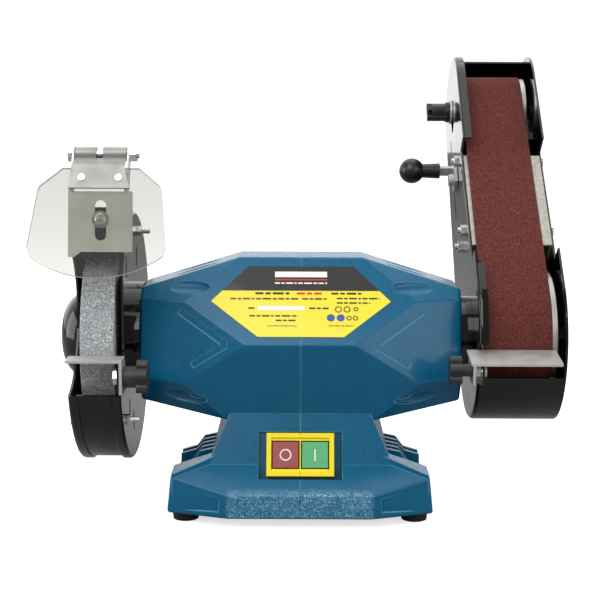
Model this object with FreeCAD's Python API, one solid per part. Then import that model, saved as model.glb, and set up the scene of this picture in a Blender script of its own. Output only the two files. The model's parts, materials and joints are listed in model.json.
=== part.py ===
import FreeCAD, Part
import math
import os

from FreeCAD import Placement, Rotation, Vector

# Bench grinder with a belt-sander arm. Millimetres, +X right, +Y back, +Z up.
# The origin is on the bench, in the middle of the four bench bolts.

# ---------------------------------------------------------------- driving sizes
AXIS_Z = 125.0            # spindle height above the bench
HOUSING_HALF = 117.5      # half length of the cast housing
WALL = 3.5                # casting wall
FOOT_H = 8.0              # rubber foot height
FOOT_X = 83.0             # bench bolt pattern, half spacing
FOOT_Y = 56.0
BENCH_HOLE_R = 3.3

WHEEL_R = 75.0            # 150 x 24 mm grinding wheel
WHEEL_X0 = -155.0
WHEEL_X1 = -131.0
SPINDLE_R = 6.35          # 12.7 mm bore seat
BEARING_BORE_R = 7.5
BEARING_R = 17.5
BEARING_W = 11.0

GUARD_R = 91.3
GUARD_SHEET = 1.6
GUARD_LIP = 1.6              # how far the cover's skirt and the inner bead stand proud
GUARD_IN = -124.9         # face of the guard towards the housing
GUARD_OUT = -162.0        # flat face of the guard cover
GUARD_DOME_R = 34.0
DOME_H = 16.4
SKIRT_W = 7.2
BEAD_W = 6.0
OPENING_UP = 49.4         # guard opening above and below the horizontal, degrees
OPENING_DOWN = 17.7

DRUM_R = 50.0             # belt drum, idler and their distance give a 686 mm belt
IDLER_R = 28.0
CENTRES = 219.0
BELT_T = 1.0
BELT_GAP = 0.3
BELT_X0 = 131.0
BELT_X1 = 181.0
DRUM_X0 = 130.0
DRUM_X1 = 185.0
ARM_LEAN = 41.0           # arm leans back from vertical, degrees
ARM_X0 = 126.7
FLANGE_X = 133.6           # free edge of the left plate's flange
ARM_X1 = 190.0
ARM_SHEET = 1.6
LOW_R = 62.5              # arm cover round the drum
TOP_R = 46.5              # arm cover round the idler

HINGE_Y = -30.0           # eye shield hinge
HINGE_Z = AXIS_Z + 137.0
CLEAR = 0.2               # radial clearance of a bolt in its hole

BIG = 600.0


# ---------------------------------------------------------------- small helpers
def box(x0, x1, y0, y1, z0, z1):
    return Part.makeBox(x1 - x0, y1 - y0, z1 - z0, Vector(x0, y0, z0))


def rod_x(x0, x1, r, y=0.0, z=AXIS_Z):
    return Part.makeCylinder(r, x1 - x0, Vector(x0, y, z), Vector(1, 0, 0))


def rod_z(z0, z1, r, x, y):
    return Part.makeCylinder(r, z1 - z0, Vector(x, y, z0), Vector(0, 0, 1))


def tube_x(x0, x1, r_out, r_in, y=0.0, z=AXIS_Z):
    return rod_x(x0, x1, r_out, y, z).cut(rod_x(x0 - 1, x1 + 1, r_in, y, z))


def face_of(points):
    return Part.Face(Part.makePolygon([*points, points[0]]))


def prism_x(outline, x0, x1):
    """A (y, z) polygon carried from x0 to x1."""
    return face_of([Vector(x0, y, z) for y, z in outline]).extrude(Vector(x1 - x0, 0, 0))


def prism_y(outline, y0, y1):
    """An (x, z) polygon carried from y0 to y1."""
    return face_of([Vector(x, y0, z) for x, z in outline]).extrude(Vector(0, y1 - y0, 0))


def hex_x(x0, x1, across_flats, y, z, turn=0.0):
    r = across_flats / math.sqrt(3)
    angles = [math.radians(turn + 60 * k) for k in range(6)]
    return prism_x([(y + r * math.cos(a), z + r * math.sin(a)) for a in angles], x0, x1)


def fuse(shapes):
    first, rest = shapes[0], shapes[1:]
    return first.fuse(rest).removeSplitter() if rest else first


def group(shapes):
    return Part.makeCompound(shapes)


def mirror_x(shape):
    return shape.mirror(Vector(0, 0, 0), Vector(1, 0, 0))


def mirror_y(shape):
    return shape.mirror(Vector(0, 0, 0), Vector(0, 1, 0))


def beyond(point, normal):
    """The half space on the outer side of a plane, as a large box."""
    block = Part.makeBox(BIG, BIG, BIG, Vector(-BIG / 2, -BIG / 2, 0))
    block.Placement = Placement(Vector(*point), Rotation(Vector(0, 0, 1), Vector(*normal)))
    return block


def plane_through(a, b, c, inside):
    """A point and the outward unit normal of the plane through three points."""
    a, b, c, inside = (Vector(*p) for p in (a, b, c, inside))
    normal = (b - a).cross(c - a)
    normal.normalize()
    if (inside - a).dot(normal) > 0:
        normal = normal * -1
    return a, normal


def quarter(planes, inset, half_x, half_y, z0, z1):
    """A solid with every plane mirrored to both ends and both sides, shrunk by inset."""
    body = box(-half_x, half_x, -half_y, half_y, z0, z1)
    for point, normal in planes:
        seen = set()
        for sx in (1, -1):
            for sy in (1, -1):
                n = (normal.x * sx, normal.y * sy, normal.z)
                key = tuple(round(v, 6) + 0.0 for v in n)
                if key in seen:
                    continue
                seen.add(key)
                p = Vector(point.x * sx, point.y * sy, point.z) - Vector(*n) * inset
                body = body.cut(beyond(p, n))
    return body


def revolve_x(profile, z=AXIS_Z):
    """A face in the X-Z plane, drawn above the spindle axis, turned round that axis."""
    return profile.revolve(Vector(0, 0, z), Vector(1, 0, 0), 360)


def arc(a, b, c):
    return Part.Arc(Vector(*a), Vector(*b), Vector(*c)).toShape()


def line(a, b):
    return Part.LineSegment(Vector(*a), Vector(*b)).toShape()


def round_edges(shape, radius, keep=lambda edge: True):
    edges = [e for e in shape.Edges if keep(e)]
    return shape.makeFillet(radius, edges)


# ---------------------------------------------------------------- housing casting
def above(z):
    return AXIS_Z + z


CREASE_Y = -61.0
CREASE_Z = above(3.3)
TOP_Z = above(61.6)
BELLY_Z = above(-54.7)
POINT_IN = (0, 0, AXIS_Z)
V_TIP = (38.8, CREASE_Y, CREASE_Z)          # where the end facet meets the front crease
V_UP = (84.0, -40.3, above(31.8))
V_DOWN = (85.0, -53.4, above(-26.0))
SHOULDER = (45.0, -18.6, TOP_Z)
BELLY = (54.0, -46.0, BELLY_Z)
END_UP = (HOUSING_HALF, -29.9, above(31.8))
END_DOWN = (HOUSING_HALF, -30.0, above(-43.0))


def housing_planes():
    return [
        plane_through((0, -18.6, TOP_Z), (10, -18.6, TOP_Z), (0, CREASE_Y, CREASE_Z), POINT_IN),
        plane_through((0, CREASE_Y, CREASE_Z), (9, CREASE_Y, CREASE_Z), (0, -46.0, BELLY_Z), POINT_IN),
        plane_through(V_TIP, V_UP, V_DOWN, POINT_IN),
        plane_through(V_UP, END_UP, SHOULDER, POINT_IN),
        plane_through(V_DOWN, BELLY, END_DOWN, POINT_IN),
        plane_through((45, 0, TOP_Z), (45, 9, TOP_Z), (HOUSING_HALF, 0, above(39)), POINT_IN),
        plane_through((54, 0, BELLY_Z), (54, 9, BELLY_Z), (HOUSING_HALF, 0, above(-43)), POINT_IN),
    ]


def housing_block(inset):
    return quarter(housing_planes(), inset, HOUSING_HALF - inset, 70, BELLY_Z + inset, TOP_Z - inset)


PLINTH_Z = FOOT_H
PANEL_FOOT = (0, -60.0, 40.7)
PANEL_HEAD = (0, -50.0, 68.6)
PLINTH_IN = (0, 0, 20)
RAIL_TOP = ((92, 0, 36.5), (92, 9, 36.5), (66, 0, 45.2))


def plinth_planes():
    return [
        plane_through((0, -86.0, 8), (9, -86.0, 8), (0, -85.0, 25), PLINTH_IN),
        plane_through((51, -86, 8), (95.5, -71, 8), (51, -85, 25), PLINTH_IN),
        plane_through((95.5, 0, 8), (95.5, 9, 8), (93, 0, 32.5), PLINTH_IN),
        plane_through((0, -85.0, 25), (9, -85.0, 25), (0, -60.0, 40.7), PLINTH_IN),
        plane_through(*RAIL_TOP, PLINTH_IN),
    ]


def plinth_block(inset):
    return quarter(plinth_planes(), inset, 96, 90, PLINTH_Z, 46)


def rail_block(inset):
    """The raised ends of the plinth, between the front and back rails."""
    near, far = 48.0, 92.0 - inset
    splay = (71.5 - 60.0) / (92.0 - 66.0)
    half = 71.5 - inset
    plan = [(near, -half + splay * (far - near)), (far, -half), (far, half), (near, half - splay * (far - near))]
    top, normal = plane_through(*RAIL_TOP, PLINTH_IN)
    block = face_of([Vector(x, y, 20) for x, y in plan]).extrude(Vector(0, 0, 40))
    block = block.cut(beyond(top - normal * inset, normal))
    return block.fuse([mirror_x(block)])


def tower_planes():
    return [
        plane_through(PANEL_FOOT, (9, -60.0, 40.7), PANEL_HEAD, PLINTH_IN),
        plane_through((67, 0, 40.7), (67, 9, 40.7), (54.4, 0, 68.6), PLINTH_IN),
    ]


def tower_block(inset, top):
    return quarter(tower_planes(), inset, 72, 64, 24, top)


POCKET_X = 64.0
POCKET_Y = 46.0
POCKET_Z = 16.5
FIN_PITCH = 11.25
FIN_T = 3.5


def end_pocket(grow=0.0):
    """Step in the plinth's end, closed by the front rail and open to the back."""
    return box(POCKET_X - grow, 110, -POCKET_Y - grow, 100, POCKET_Z - grow, 60)


def end_fins():
    """Five upright fins in the end pocket; two of them reach out to the end wall."""
    fins = []
    slim = [(63, 15), (63, 43.6), (74.5, 41), (84.5, 28), (84.5, 15)]
    wide = [(63, 15), (63, 43.6), (74.5, 41), (79.5, 36.2), (91, 32.8), (91.5, 15)]
    for k in range(5):
        y = (k - 2) * FIN_PITCH
        fins.append(prism_y(wide if k in (2, 3) else slim, y - FIN_T / 2, y + FIN_T / 2))
    return fins


def fin_slots():
    """Openings into the base between the fins."""
    return [
        box(55, POCKET_X + 0.5, (k - 1.5) * FIN_PITCH - 3, (k - 1.5) * FIN_PITCH + 3, 24, 36)
        for k in range(4)
    ]


# Switch recess, in the frame of the sloping front panel: v runs up it, w out of it.
PANEL_V = Vector(0, 10.0, 27.9).normalize()
PANEL_W = Vector(0, -27.9, 10.0).normalize()
RECESS_V0, RECESS_V1 = -11.1, 23.7
RECESS_HALF = 30.0
RECESS_DEEP = 3.0


def on_panel(shape):
    """Place a shape drawn as X = across, Y = up the panel, Z = out of the panel."""
    turn = Rotation(Vector(1, 0, 0), PANEL_V, PANEL_W, "XYZ")
    placed = shape.copy()
    placed.Placement = Placement(Vector(*PANEL_FOOT), turn).multiply(shape.Placement)
    return placed


def switch_recess():
    return on_panel(box(-RECESS_HALF, RECESS_HALF, RECESS_V0, RECESS_V1, -RECESS_DEEP, 30))


VENT_HALF_W = 6.0
VENT_DEPTH = 3.2
VENT_TIP_OUT = 1.2        # the ellipsoid's outer end stands proud, so the vent narrows to a point
VENT_HEEL_IN = 0.5


def vent(tip, heel, normal, half_w):
    """An ellipsoid sunk in a facet: a blind scoop that starts at a point and widens inwards."""
    tip = Vector(*tip) + normal * VENT_TIP_OUT
    heel = Vector(*heel) - normal * VENT_HEEL_IN
    run = heel - tip
    stretch = FreeCAD.Matrix()
    stretch.scale(run.Length / 2, half_w, VENT_DEPTH)
    scoop = Part.makeSphere(1.0).transformGeometry(stretch)
    scoop.Placement = Placement((tip + heel) * 0.5, Rotation(run, normal.cross(run), normal, "XZY"))
    return scoop


def housing_vents():
    upper_normal = plane_through(V_UP, END_UP, SHOULDER, POINT_IN)[1]
    lower_normal = plane_through(V_DOWN, BELLY, END_DOWN, POINT_IN)[1]
    top_normal = plane_through((45, 0, TOP_Z), (45, 9, TOP_Z), (HOUSING_HALF, 0, above(39)), POINT_IN)[1]
    scoops = [vent((99.0, -27.0, 165.6), (65.9, -35.0, 166.4), upper_normal, VENT_HALF_W),
              vent((102.5, -42.5, 90.5), (67.4, -49.5, 85.6), lower_normal, VENT_HALF_W - 1),
              vent((94.0, -9.0, 171.3), (62.0, -9.0, 181.3), top_normal, VENT_HALF_W - 2)]
    vents = []
    for left in (False, True):
        for back in (False, True):
            for scoop in scoops:
                placed = mirror_x(scoop) if left else scoop
                vents.append(mirror_y(placed) if back else placed)
    return vents


def chevrons():
    """A shallow pressed V inside each end facet."""
    normal = plane_through(V_TIP, V_UP, V_DOWN, POINT_IN)[1]
    along_up = (Vector(*V_UP) - Vector(*V_TIP)).normalize()
    along_down = (Vector(*V_DOWN) - Vector(*V_TIP)).normalize()
    start = Vector(*V_TIP) + (along_up + along_down) * 9.0
    grooves = []
    for run, reach in ((along_up, 44), (along_down, 30)):
        side = normal.cross(run).normalize() * 2.2
        a = start - side
        b = start + run * reach - side
        c = start + run * reach + side
        d = start + side
        grooves.append(face_of([a, b, c, d]).extrude(normal * -0.45))
    one = fuse(grooves)
    out = []
    for left in (False, True):
        for back in (False, True):
            placed = mirror_x(one) if left else one
            out.append(mirror_y(placed) if back else placed)
    return out


def corner_recesses():
    """A wedge-shaped recess in each slanting corner of the plinth."""
    outward = Vector(15, -44.5, 0).normalize()
    shallow, deep = Vector(87, -73.9, 12.5), Vector(58, -83.6, 12.5)
    plan = [shallow, deep - outward * 1.8, deep + outward * 2, shallow + outward * 2]
    wedge = face_of([Vector(p.x, p.y, 8) for p in plan]).extrude(Vector(0, 0, 24))
    side_view = prism_y([(50, 13.0), (90, 11.5), (84, 27.0), (50, 20.6)], -100, -60)
    wedge = wedge.common(side_view)
    out = []
    for left in (False, True):
        for back in (False, True):
            placed = mirror_x(wedge) if left else wedge
            out.append(mirror_y(placed) if back else placed)
    return out


LUGS = [(-49.5, above(3.0)), (49.5, above(3.0)), (-55.0, 20.0), (55.0, 20.0)]
LUG_X = 12.0
PLATE_SCREWS = [(56.0, 60.0), (56.0, -60.0), (-56.0, 60.0), (-56.0, -60.0)]
STATOR_R = 44.0


def bosses(outer):
    """Lugs, bearing seats, stator seats and screw bosses inside the casting."""
    parts = []
    for y, z in LUGS:
        parts.append(box(-LUG_X, LUG_X, y - 6.5, y + 6.5, z - 6.5, z + 6.5))
        if z < AXIS_Z / 2:
            parts.append(box(-LUG_X, LUG_X, *sorted((y, math.copysign(90, y))), z - 3, z + 3))
    for side in (1, -1):
        parts.append(rod_x(*sorted((side * 92.0, side * 115.0)), BEARING_R + 5))
        for y in (-1, 1):
            parts.append(box(*sorted((side * 16.0, side * 28.0)), *sorted((y * 40.0, y * 58.0)), 121, 127))
        parts.append(box(*sorted((side * 16.0, side * 28.0)), -4, 4, above(40), above(60)))
    for x in (-FOOT_X, FOOT_X):
        for y in (-FOOT_Y, FOOT_Y):
            parts.append(rod_z(10.1, 30, 8.0, x, y))
    for x, y in PLATE_SCREWS:
        parts.append(rod_z(10.1, 34, 5.0, x, y))
    return [p.common(outer) for p in parts]


def casting():
    """Housing and base as one hollow casting, before it is split into two halves."""
    body = round_edges(housing_block(0), 3.0)
    tower = tower_block(0, above(-30))
    plinth = round_edges(plinth_block(0), 2.0)
    rails = rail_block(0)
    outer = body.fuse([tower, plinth, rails])
    outer = outer.cut([end_pocket(), mirror_x(end_pocket()), switch_recess()])
    cavity = housing_block(WALL)
    cavity = cavity.fuse([tower_block(WALL, above(-40))])
    lower = plinth_block(WALL).fuse(rail_block(WALL).cut(box(-200, 200, -200, 200, 0, 24)))
    lower = lower.fuse([box(-80, 80, -60, 60, 4, 12)]).common(box(-200, 200, -200, 200, 4, 60))
    keep_out = [end_pocket(WALL), mirror_x(end_pocket(WALL)), switch_wall()]
    cavity = cavity.fuse([lower]).cut(keep_out)
    bottom_rim = plinth_block(WALL).common(box(-200, 200, -200, 200, 0, 12)).translated(Vector(0, 0, -3))
    shell = outer.cut([cavity, bottom_rim])
    inner = [b.cut([rod_x(-130, 130, STATOR_R)]) if b.BoundBox.XMax < 92 and b.BoundBox.XMin > -92 else b
             for b in bosses(outer)]
    fins = []
    for fin in end_fins():
        fins.extend([fin, mirror_x(fin)])
    shell = shell.fuse(inner + fins)
    holes = []
    for side in (1, -1):
        slots = fin_slots()
        holes.extend(slots if side > 0 else [mirror_x(s) for s in slots])
        holes.append(rod_x(*sorted((side * 90.0, side * (92.0 + 1 + BEARING_W))), BEARING_R + 0.02))
        holes.append(rod_x(*sorted((side * 90.0, side * 130.0)), 12.0))
        for x, y in ((side * FOOT_X, FOOT_Y), (side * FOOT_X, -FOOT_Y)):
            holes.append(rod_z(0, 14.5, 2.5, x, y))
    for y, z in LUGS:
        holes.append(rod_x(-20, 20, 2.5 + CLEAR, y, z))
    for y, z in GUARD_SCREWS:
        holes.append(rod_x(-HOUSING_HALF - 1, -HOUSING_HALF + 6, GUARD_SCREW_R + 0.02, y, z))
    for x, y in PLATE_SCREWS:
        holes.append(rod_z(0, 20, 1.65, x, y))
    holes.append(on_panel(box(-22.3, 22.3, -6.8, 20.8, -20, 30)))
    holes.append(Part.makeCylinder(8.2, 30, Vector(40, 70, 24), Vector(0, 1, 0)))
    holes.extend(housing_vents())
    holes.extend(chevrons())
    holes.extend(corner_recesses())
    return shell.cut(holes)


def switch_wall():
    """Metal kept behind the switch recess."""
    return on_panel(box(-RECESS_HALF - WALL, RECESS_HALF + WALL, RECESS_V0 - WALL, RECESS_V1 + WALL,
                        -RECESS_DEEP - 2.5, 30))


def seam_groove():
    """A shallow V along the parting line."""
    shapes = []
    for outer, inner in ((housing_block(-1), housing_block(0.7)),
                         (plinth_block(-1), plinth_block(0.7)),):
        shapes.append(outer.cut(inner).common(box(-0.2, 0.2, -200, 200, 0, 300)))
    return shapes


def half_shell(whole, side):
    half = box(*sorted((0.0, side * 200.0)), -150, 150, 0, 300)
    return whole.common(half)


def bottom_plate():
    plate = plinth_block(WALL + 0.4).common(box(-200, 200, -200, 200, 8.4, 10.0))
    holes = [rod_z(0, 20, 1.9, x, y) for x, y in PLATE_SCREWS]
    holes += [rod_z(0, 20, 4.6, x, y) for x in (-FOOT_X, FOOT_X) for y in (-FOOT_Y, FOOT_Y)]
    for k in range(5):
        holes.append(box(-30, 30, -33 + 15 * k, -27 + 15 * k, 0, 20))
    return plate.cut(holes)


def plate_screws():
    screws = []
    for x, y in PLATE_SCREWS:
        head = rod_z(6.6, 8.4, 3.4, x, y)
        screws.append(fuse([head, rod_z(8.3, 18, 1.6, x, y)]))
    return group(screws)


def foot(x, y):
    """A flared rubber foot with a plug that fills the hole in the bottom plate."""
    rise = FOOT_H - 1.5
    body = Part.makeCone(9.2, 9.9, rise, Vector(x, y, 0), Vector(0, 0, 1)).fuse(
        [rod_z(rise, FOOT_H + 0.4, 9.9, x, y), rod_z(FOOT_H, 10.0, 4.5, x, y)]).removeSplitter()
    body = body.cut(rod_z(-1, 20, BENCH_HOLE_R, x, y))
    groove = rod_z(rise - 0.5, rise + 0.5, 12, x, y).cut(rod_z(rise - 1, rise + 1, 9.2, x, y))
    return body.cut(groove)


def shell_bolts():
    bolts = []
    for y, z in LUGS:
        shank = rod_x(-LUG_X - 0.5, LUG_X + 5, 2.5, y, z)
        head = rod_x(-LUG_X - 4, -LUG_X, 4.25, y, z)
        nut = hex_x(LUG_X, LUG_X + 4, 8, y, z)
        bolts.append(fuse([shank, head, nut]))
    return group(bolts)


# ---------------------------------------------------------------- motor
def motor_shaft():
    core = rod_x(-105, 105, BEARING_BORE_R)
    left = rod_x(WHEEL_X0 - 14.5, -105, SPINDLE_R)
    right = rod_x(105, 192 - 6, SPINDLE_R)
    return fuse([core, left, right])


def stator_core():
    ring = tube_x(-30, 30, STATOR_R - 0.05, 25.0)
    slots = []
    for k in range(24):
        slot = box(-31, 31, -1.6, 1.6, AXIS_Z + 26.5, AXIS_Z + 36)
        slot.rotate(Vector(0, 0, AXIS_Z), Vector(1, 0, 0), 15 * k)
        slots.append(slot)
    return ring.cut(slots)


def stator_windings():
    def coil_end(x):
        ring = Part.makeTorus(33.0, 6.5, Vector(x, 0, AXIS_Z), Vector(1, 0, 0))
        return ring
    return group([coil_end(-37.0), coil_end(37.0)])


def rotor_core():
    return tube_x(-30, 30, 24.6, BEARING_BORE_R)


def rotor_end_rings():
    """Cast end rings with short fan blades."""
    rings = []
    for side in (1, -1):
        ring = tube_x(*sorted((side * 30.0, side * 37.0)), 23.0, 14.0)
        blades = []
        for k in range(9):
            blade = box(*sorted((side * 36.5, side * 50.0)), -1.0, 1.0, AXIS_Z + 15, AXIS_Z + 22.5)
            blade.rotate(Vector(0, 0, AXIS_Z), Vector(1, 0, 0), 40 * k)
            blades.append(blade)
        rings.append(ring.fuse(blades))
    return group(rings)


def bearing_spans():
    return [(-93.0 - BEARING_W, -93.0), (93.0, 93.0 + BEARING_W)]


def bearing_outer_rings():
    rings = []
    for x0, x1 in bearing_spans():
        track = Part.makeTorus(12.5, 2.7, Vector((x0 + x1) / 2, 0, AXIS_Z), Vector(1, 0, 0))
        rings.append(tube_x(x0, x1, BEARING_R, 14.0).cut(track))
    return group(rings)


def bearing_inner_rings():
    rings = []
    for x0, x1 in bearing_spans():
        track = Part.makeTorus(12.5, 2.7, Vector((x0 + x1) / 2, 0, AXIS_Z), Vector(1, 0, 0))
        rings.append(tube_x(x0, x1, 11.0, BEARING_BORE_R).cut(track))
    return group(rings)


def bearing_balls():
    """Nine balls in each bearing, joined by a thin cage ring."""
    sets = []
    for x0, x1 in bearing_spans():
        mid = (x0 + x1) / 2
        cage = tube_x(mid - 1.2, mid + 1.2, 13.0, 12.0)
        balls = []
        for k in range(9):
            a = math.radians(40 * k)
            balls.append(Part.makeSphere(2.6, Vector(mid, 12.5 * math.cos(a), AXIS_Z + 12.5 * math.sin(a))))
        sets.append(cage.fuse(balls))
    return group(sets)


CAPACITOR_Y = 30.0
CAPACITOR_Z = 27.0


def run_capacitor():
    y = CAPACITOR_Y
    can = rod_x(-28, 28, 15, y, CAPACITOR_Z)
    pins = [box(28, 33, y - 4, y - 3, 24, 30), box(28, 33, y + 3, y + 4, 24, 30)]
    return can.fuse(pins)


def capacitor_clip():
    ring = tube_x(-6, 6, 16.2, 15.05, CAPACITOR_Y, CAPACITOR_Z)
    ring = ring.cut(box(-10, 10, CAPACITOR_Y - 18, CAPACITOR_Y + 22, 36, 50))
    return ring.common(box(-10, 10, 0, 80, 10.05, 60))


def terminal_block():
    block = box(-20, 20, -4, 8, 10.05, 22)
    wells = [rod_z(14, 30, 2.0, -15 + 10 * k, 2) for k in range(4)]
    return block.cut(wells)


# ---------------------------------------------------------------- switch and label
BEZEL_HALF = 24.3
BEZEL_V0, BEZEL_V1 = -8.6, 22.4
BEZEL_W = 7.5
BUTTON = 18.6
BUTTON_X = 10.6
BUTTON_V = 6.8


def button_window(x, grow):
    half = BUTTON / 2 + grow
    return box(x - half, x + half, BUTTON_V - half, BUTTON_V + half, -20, 20)


def switch_plate():
    """A glossy lining of the recess round the switch."""
    plate = box(-RECESS_HALF + 0.2, RECESS_HALF - 0.2, RECESS_V0 + 0.2, RECESS_V1 - 0.2,
                -RECESS_DEEP, -RECESS_DEEP + 1.0)
    return on_panel(plate.cut(box(-22, 22, -6.5, 20.5, -20, 20)))


def switch_bezel():
    frame = box(-BEZEL_HALF, BEZEL_HALF, BEZEL_V0, BEZEL_V1, -RECESS_DEEP + 1.0, BEZEL_W)
    frame = frame.cut(box(-BEZEL_HALF + 3.5, BEZEL_HALF - 3.5, BEZEL_V0 + 3.5, BEZEL_V1 - 3.5, 6.3, 20))
    windows = [button_window(x, 0.8) for x in (-BUTTON_X, BUTTON_X)]
    frame = frame.cut(windows)
    split = box(-0.25, 0.25, BEZEL_V0 - 1, BEZEL_V1 + 1, BEZEL_W - 0.5, 20)
    return on_panel(frame.cut(split))


def switch_body():
    case = box(-21.5, 21.5, -6.0, 20.0, -28, -RECESS_DEEP + 0.95)
    wells = [button_window(x, 0.3).common(box(-50, 50, -50, 50, -12, 20)) for x in (-BUTTON_X, BUTTON_X)]
    tabs = [box(x - 3, x + 3, 4, 5, -36, -27.5) for x in (-15, -5, 5, 15)]
    return on_panel(case.cut(wells).fuse(tabs))


def button(x):
    half = BUTTON / 2
    cap = box(x - half, x + half, BUTTON_V - half, BUTTON_V + half, -7.0, 6.6)
    return cap


def stop_button():
    cap = button(-BUTTON_X)
    ring = Part.makeCylinder(4.3, 1, Vector(-BUTTON_X, BUTTON_V, 6.4)).cut(
        Part.makeCylinder(3.2, 3, Vector(-BUTTON_X, BUTTON_V, 5)))
    return on_panel(cap.cut(ring))


def start_button():
    cap = button(BUTTON_X)
    bar = box(BUTTON_X - 0.6, BUTTON_X + 0.6, BUTTON_V - 4.3, BUTTON_V + 4.3, 6.4, 9)
    return on_panel(cap.cut(bar))


def rating_label():
    """A thin hexagonal plate on the upper front facet."""
    top = Vector(0, -18.6, TOP_Z)
    foot_point = Vector(0, CREASE_Y, CREASE_Z)
    down = foot_point - top
    out = Vector(0, down.z, -down.y).normalize()
    if out.y > 0:
        out = out * -1
    def at(x, t):
        return top + down * t + Vector(x, 0, 0) + out * 0.02
    ring = [at(-38.5, 0.11), at(38.5, 0.11), at(65, 0.51), at(31, 0.905), at(-31, 0.905), at(-65, 0.51)]
    return face_of(ring).extrude(out * 0.5)


# ---------------------------------------------------------------- grinding wheel side
def wheel_spacer():
    """Black collar between the housing end and the wheel guard."""
    ring = tube_x(GUARD_IN, -HOUSING_HALF, 40.0, 14.0)
    return ring.cut(guard_screw_holes(2.5 + CLEAR))


GUARD_SCREW_R = 2.4
GUARD_SCREWS = [(30.0 * math.cos(math.radians(a)), AXIS_Z + 30.0 * math.sin(math.radians(a)))
                for a in (30, 150, 270)]
COVER_SCREWS = [(-79.0 * math.cos(math.radians(a)), AXIS_Z + 79.0 * math.sin(math.radians(a)))
                for a in (-40.0, 104.4, 212.0)]
REST_BOLT = (-87.0, above(-14.0))


def guard_screw_holes(r):
    return [rod_x(-130, -100, r, y, z) for y, z in GUARD_SCREWS]


def wedge(x0, x1, low, high, r=200.0):
    """The part of the guard's front between two angles from the horizontal."""
    a, b = math.radians(-low), math.radians(high)
    mid = (a + b) / 2
    points = [(0, AXIS_Z)] + [(-r * math.cos(t), AXIS_Z + r * math.sin(t)) for t in (a, mid, b)]
    return prism_x(points, x0, x1)


def guard_pot():
    """Inner face and band of the wheel guard, with a rounded bead where they meet."""
    x0, x1 = GUARD_IN, GUARD_OUT + 6.0
    r = GUARD_R
    t = GUARD_SHEET
    z = AXIS_Z
    bead = r + GUARD_LIP
    soft = 2.6
    k = math.sqrt(0.5)
    corner = (x0 - soft + soft * k, 0, z + bead - soft + soft * k)
    outer = [line((x0, 0, z), (x0, 0, z + bead - soft)),
             arc((x0, 0, z + bead - soft), corner, (x0 - soft, 0, z + bead)),
             line((x0 - soft, 0, z + bead), (x0 - BEAD_W, 0, z + bead)),
             line((x0 - BEAD_W, 0, z + bead), (x0 - BEAD_W - 1, 0, z + r)),
             line((x0 - BEAD_W - 1, 0, z + r), (x1, 0, z + r)),
             line((x1, 0, z + r), (x1, 0, z + r - t)),
             line((x1, 0, z + r - t), (x0 - t, 0, z + r - t)),
             line((x0 - t, 0, z + r - t), (x0 - t, 0, z)),
             line((x0 - t, 0, z), (x0, 0, z))]
    return revolve_x(Part.Face(Part.Wire(outer)))


def wheel_guard():
    pot = guard_pot()
    opening = wedge(-200, -100, OPENING_DOWN, OPENING_UP)
    far = opening.cut(rod_x(-210, -90, 87.5))
    front = opening.common(box(-200, -100, -200, -66, 0, 300))
    tab = prism_x([(-60, above(-4)), (-96, above(-7)), (-96, above(-24)), (-84, above(-30)), (-60, above(-30))],
                  GUARD_IN - GUARD_SHEET, GUARD_IN)
    pot = pot.cut([far, front]).fuse([tab, guard_lug()])
    holes = [rod_x(-130, -100, 15.0), rod_x(-135, -100, 3.0 + CLEAR, *REST_BOLT)]
    holes += [rod_x(-130, -100, 2.0 + CLEAR, y, z) for y, z in COVER_SCREWS]
    holes += guard_screw_holes(2.5 + CLEAR)
    for y, z in ((-40, above(-48)), (-18, above(-62))):
        holes.append(box(-130, -100, y - 2.5, y + 2.5, z - 7, z + 7))
    for y in (-48.0, 12.0):
        holes.append(box(-130, -100, y - 3, y + 3, above(50), above(66)))
    x, y, z = SCREW_AT
    holes.append(Part.makeCylinder(2.5 + CLEAR, 30, Vector(x, y - 15, z - 15 * 7 / 45.5 * -1), Vector(0, 45.5, -7)))
    return pot.cut(holes)


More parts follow.
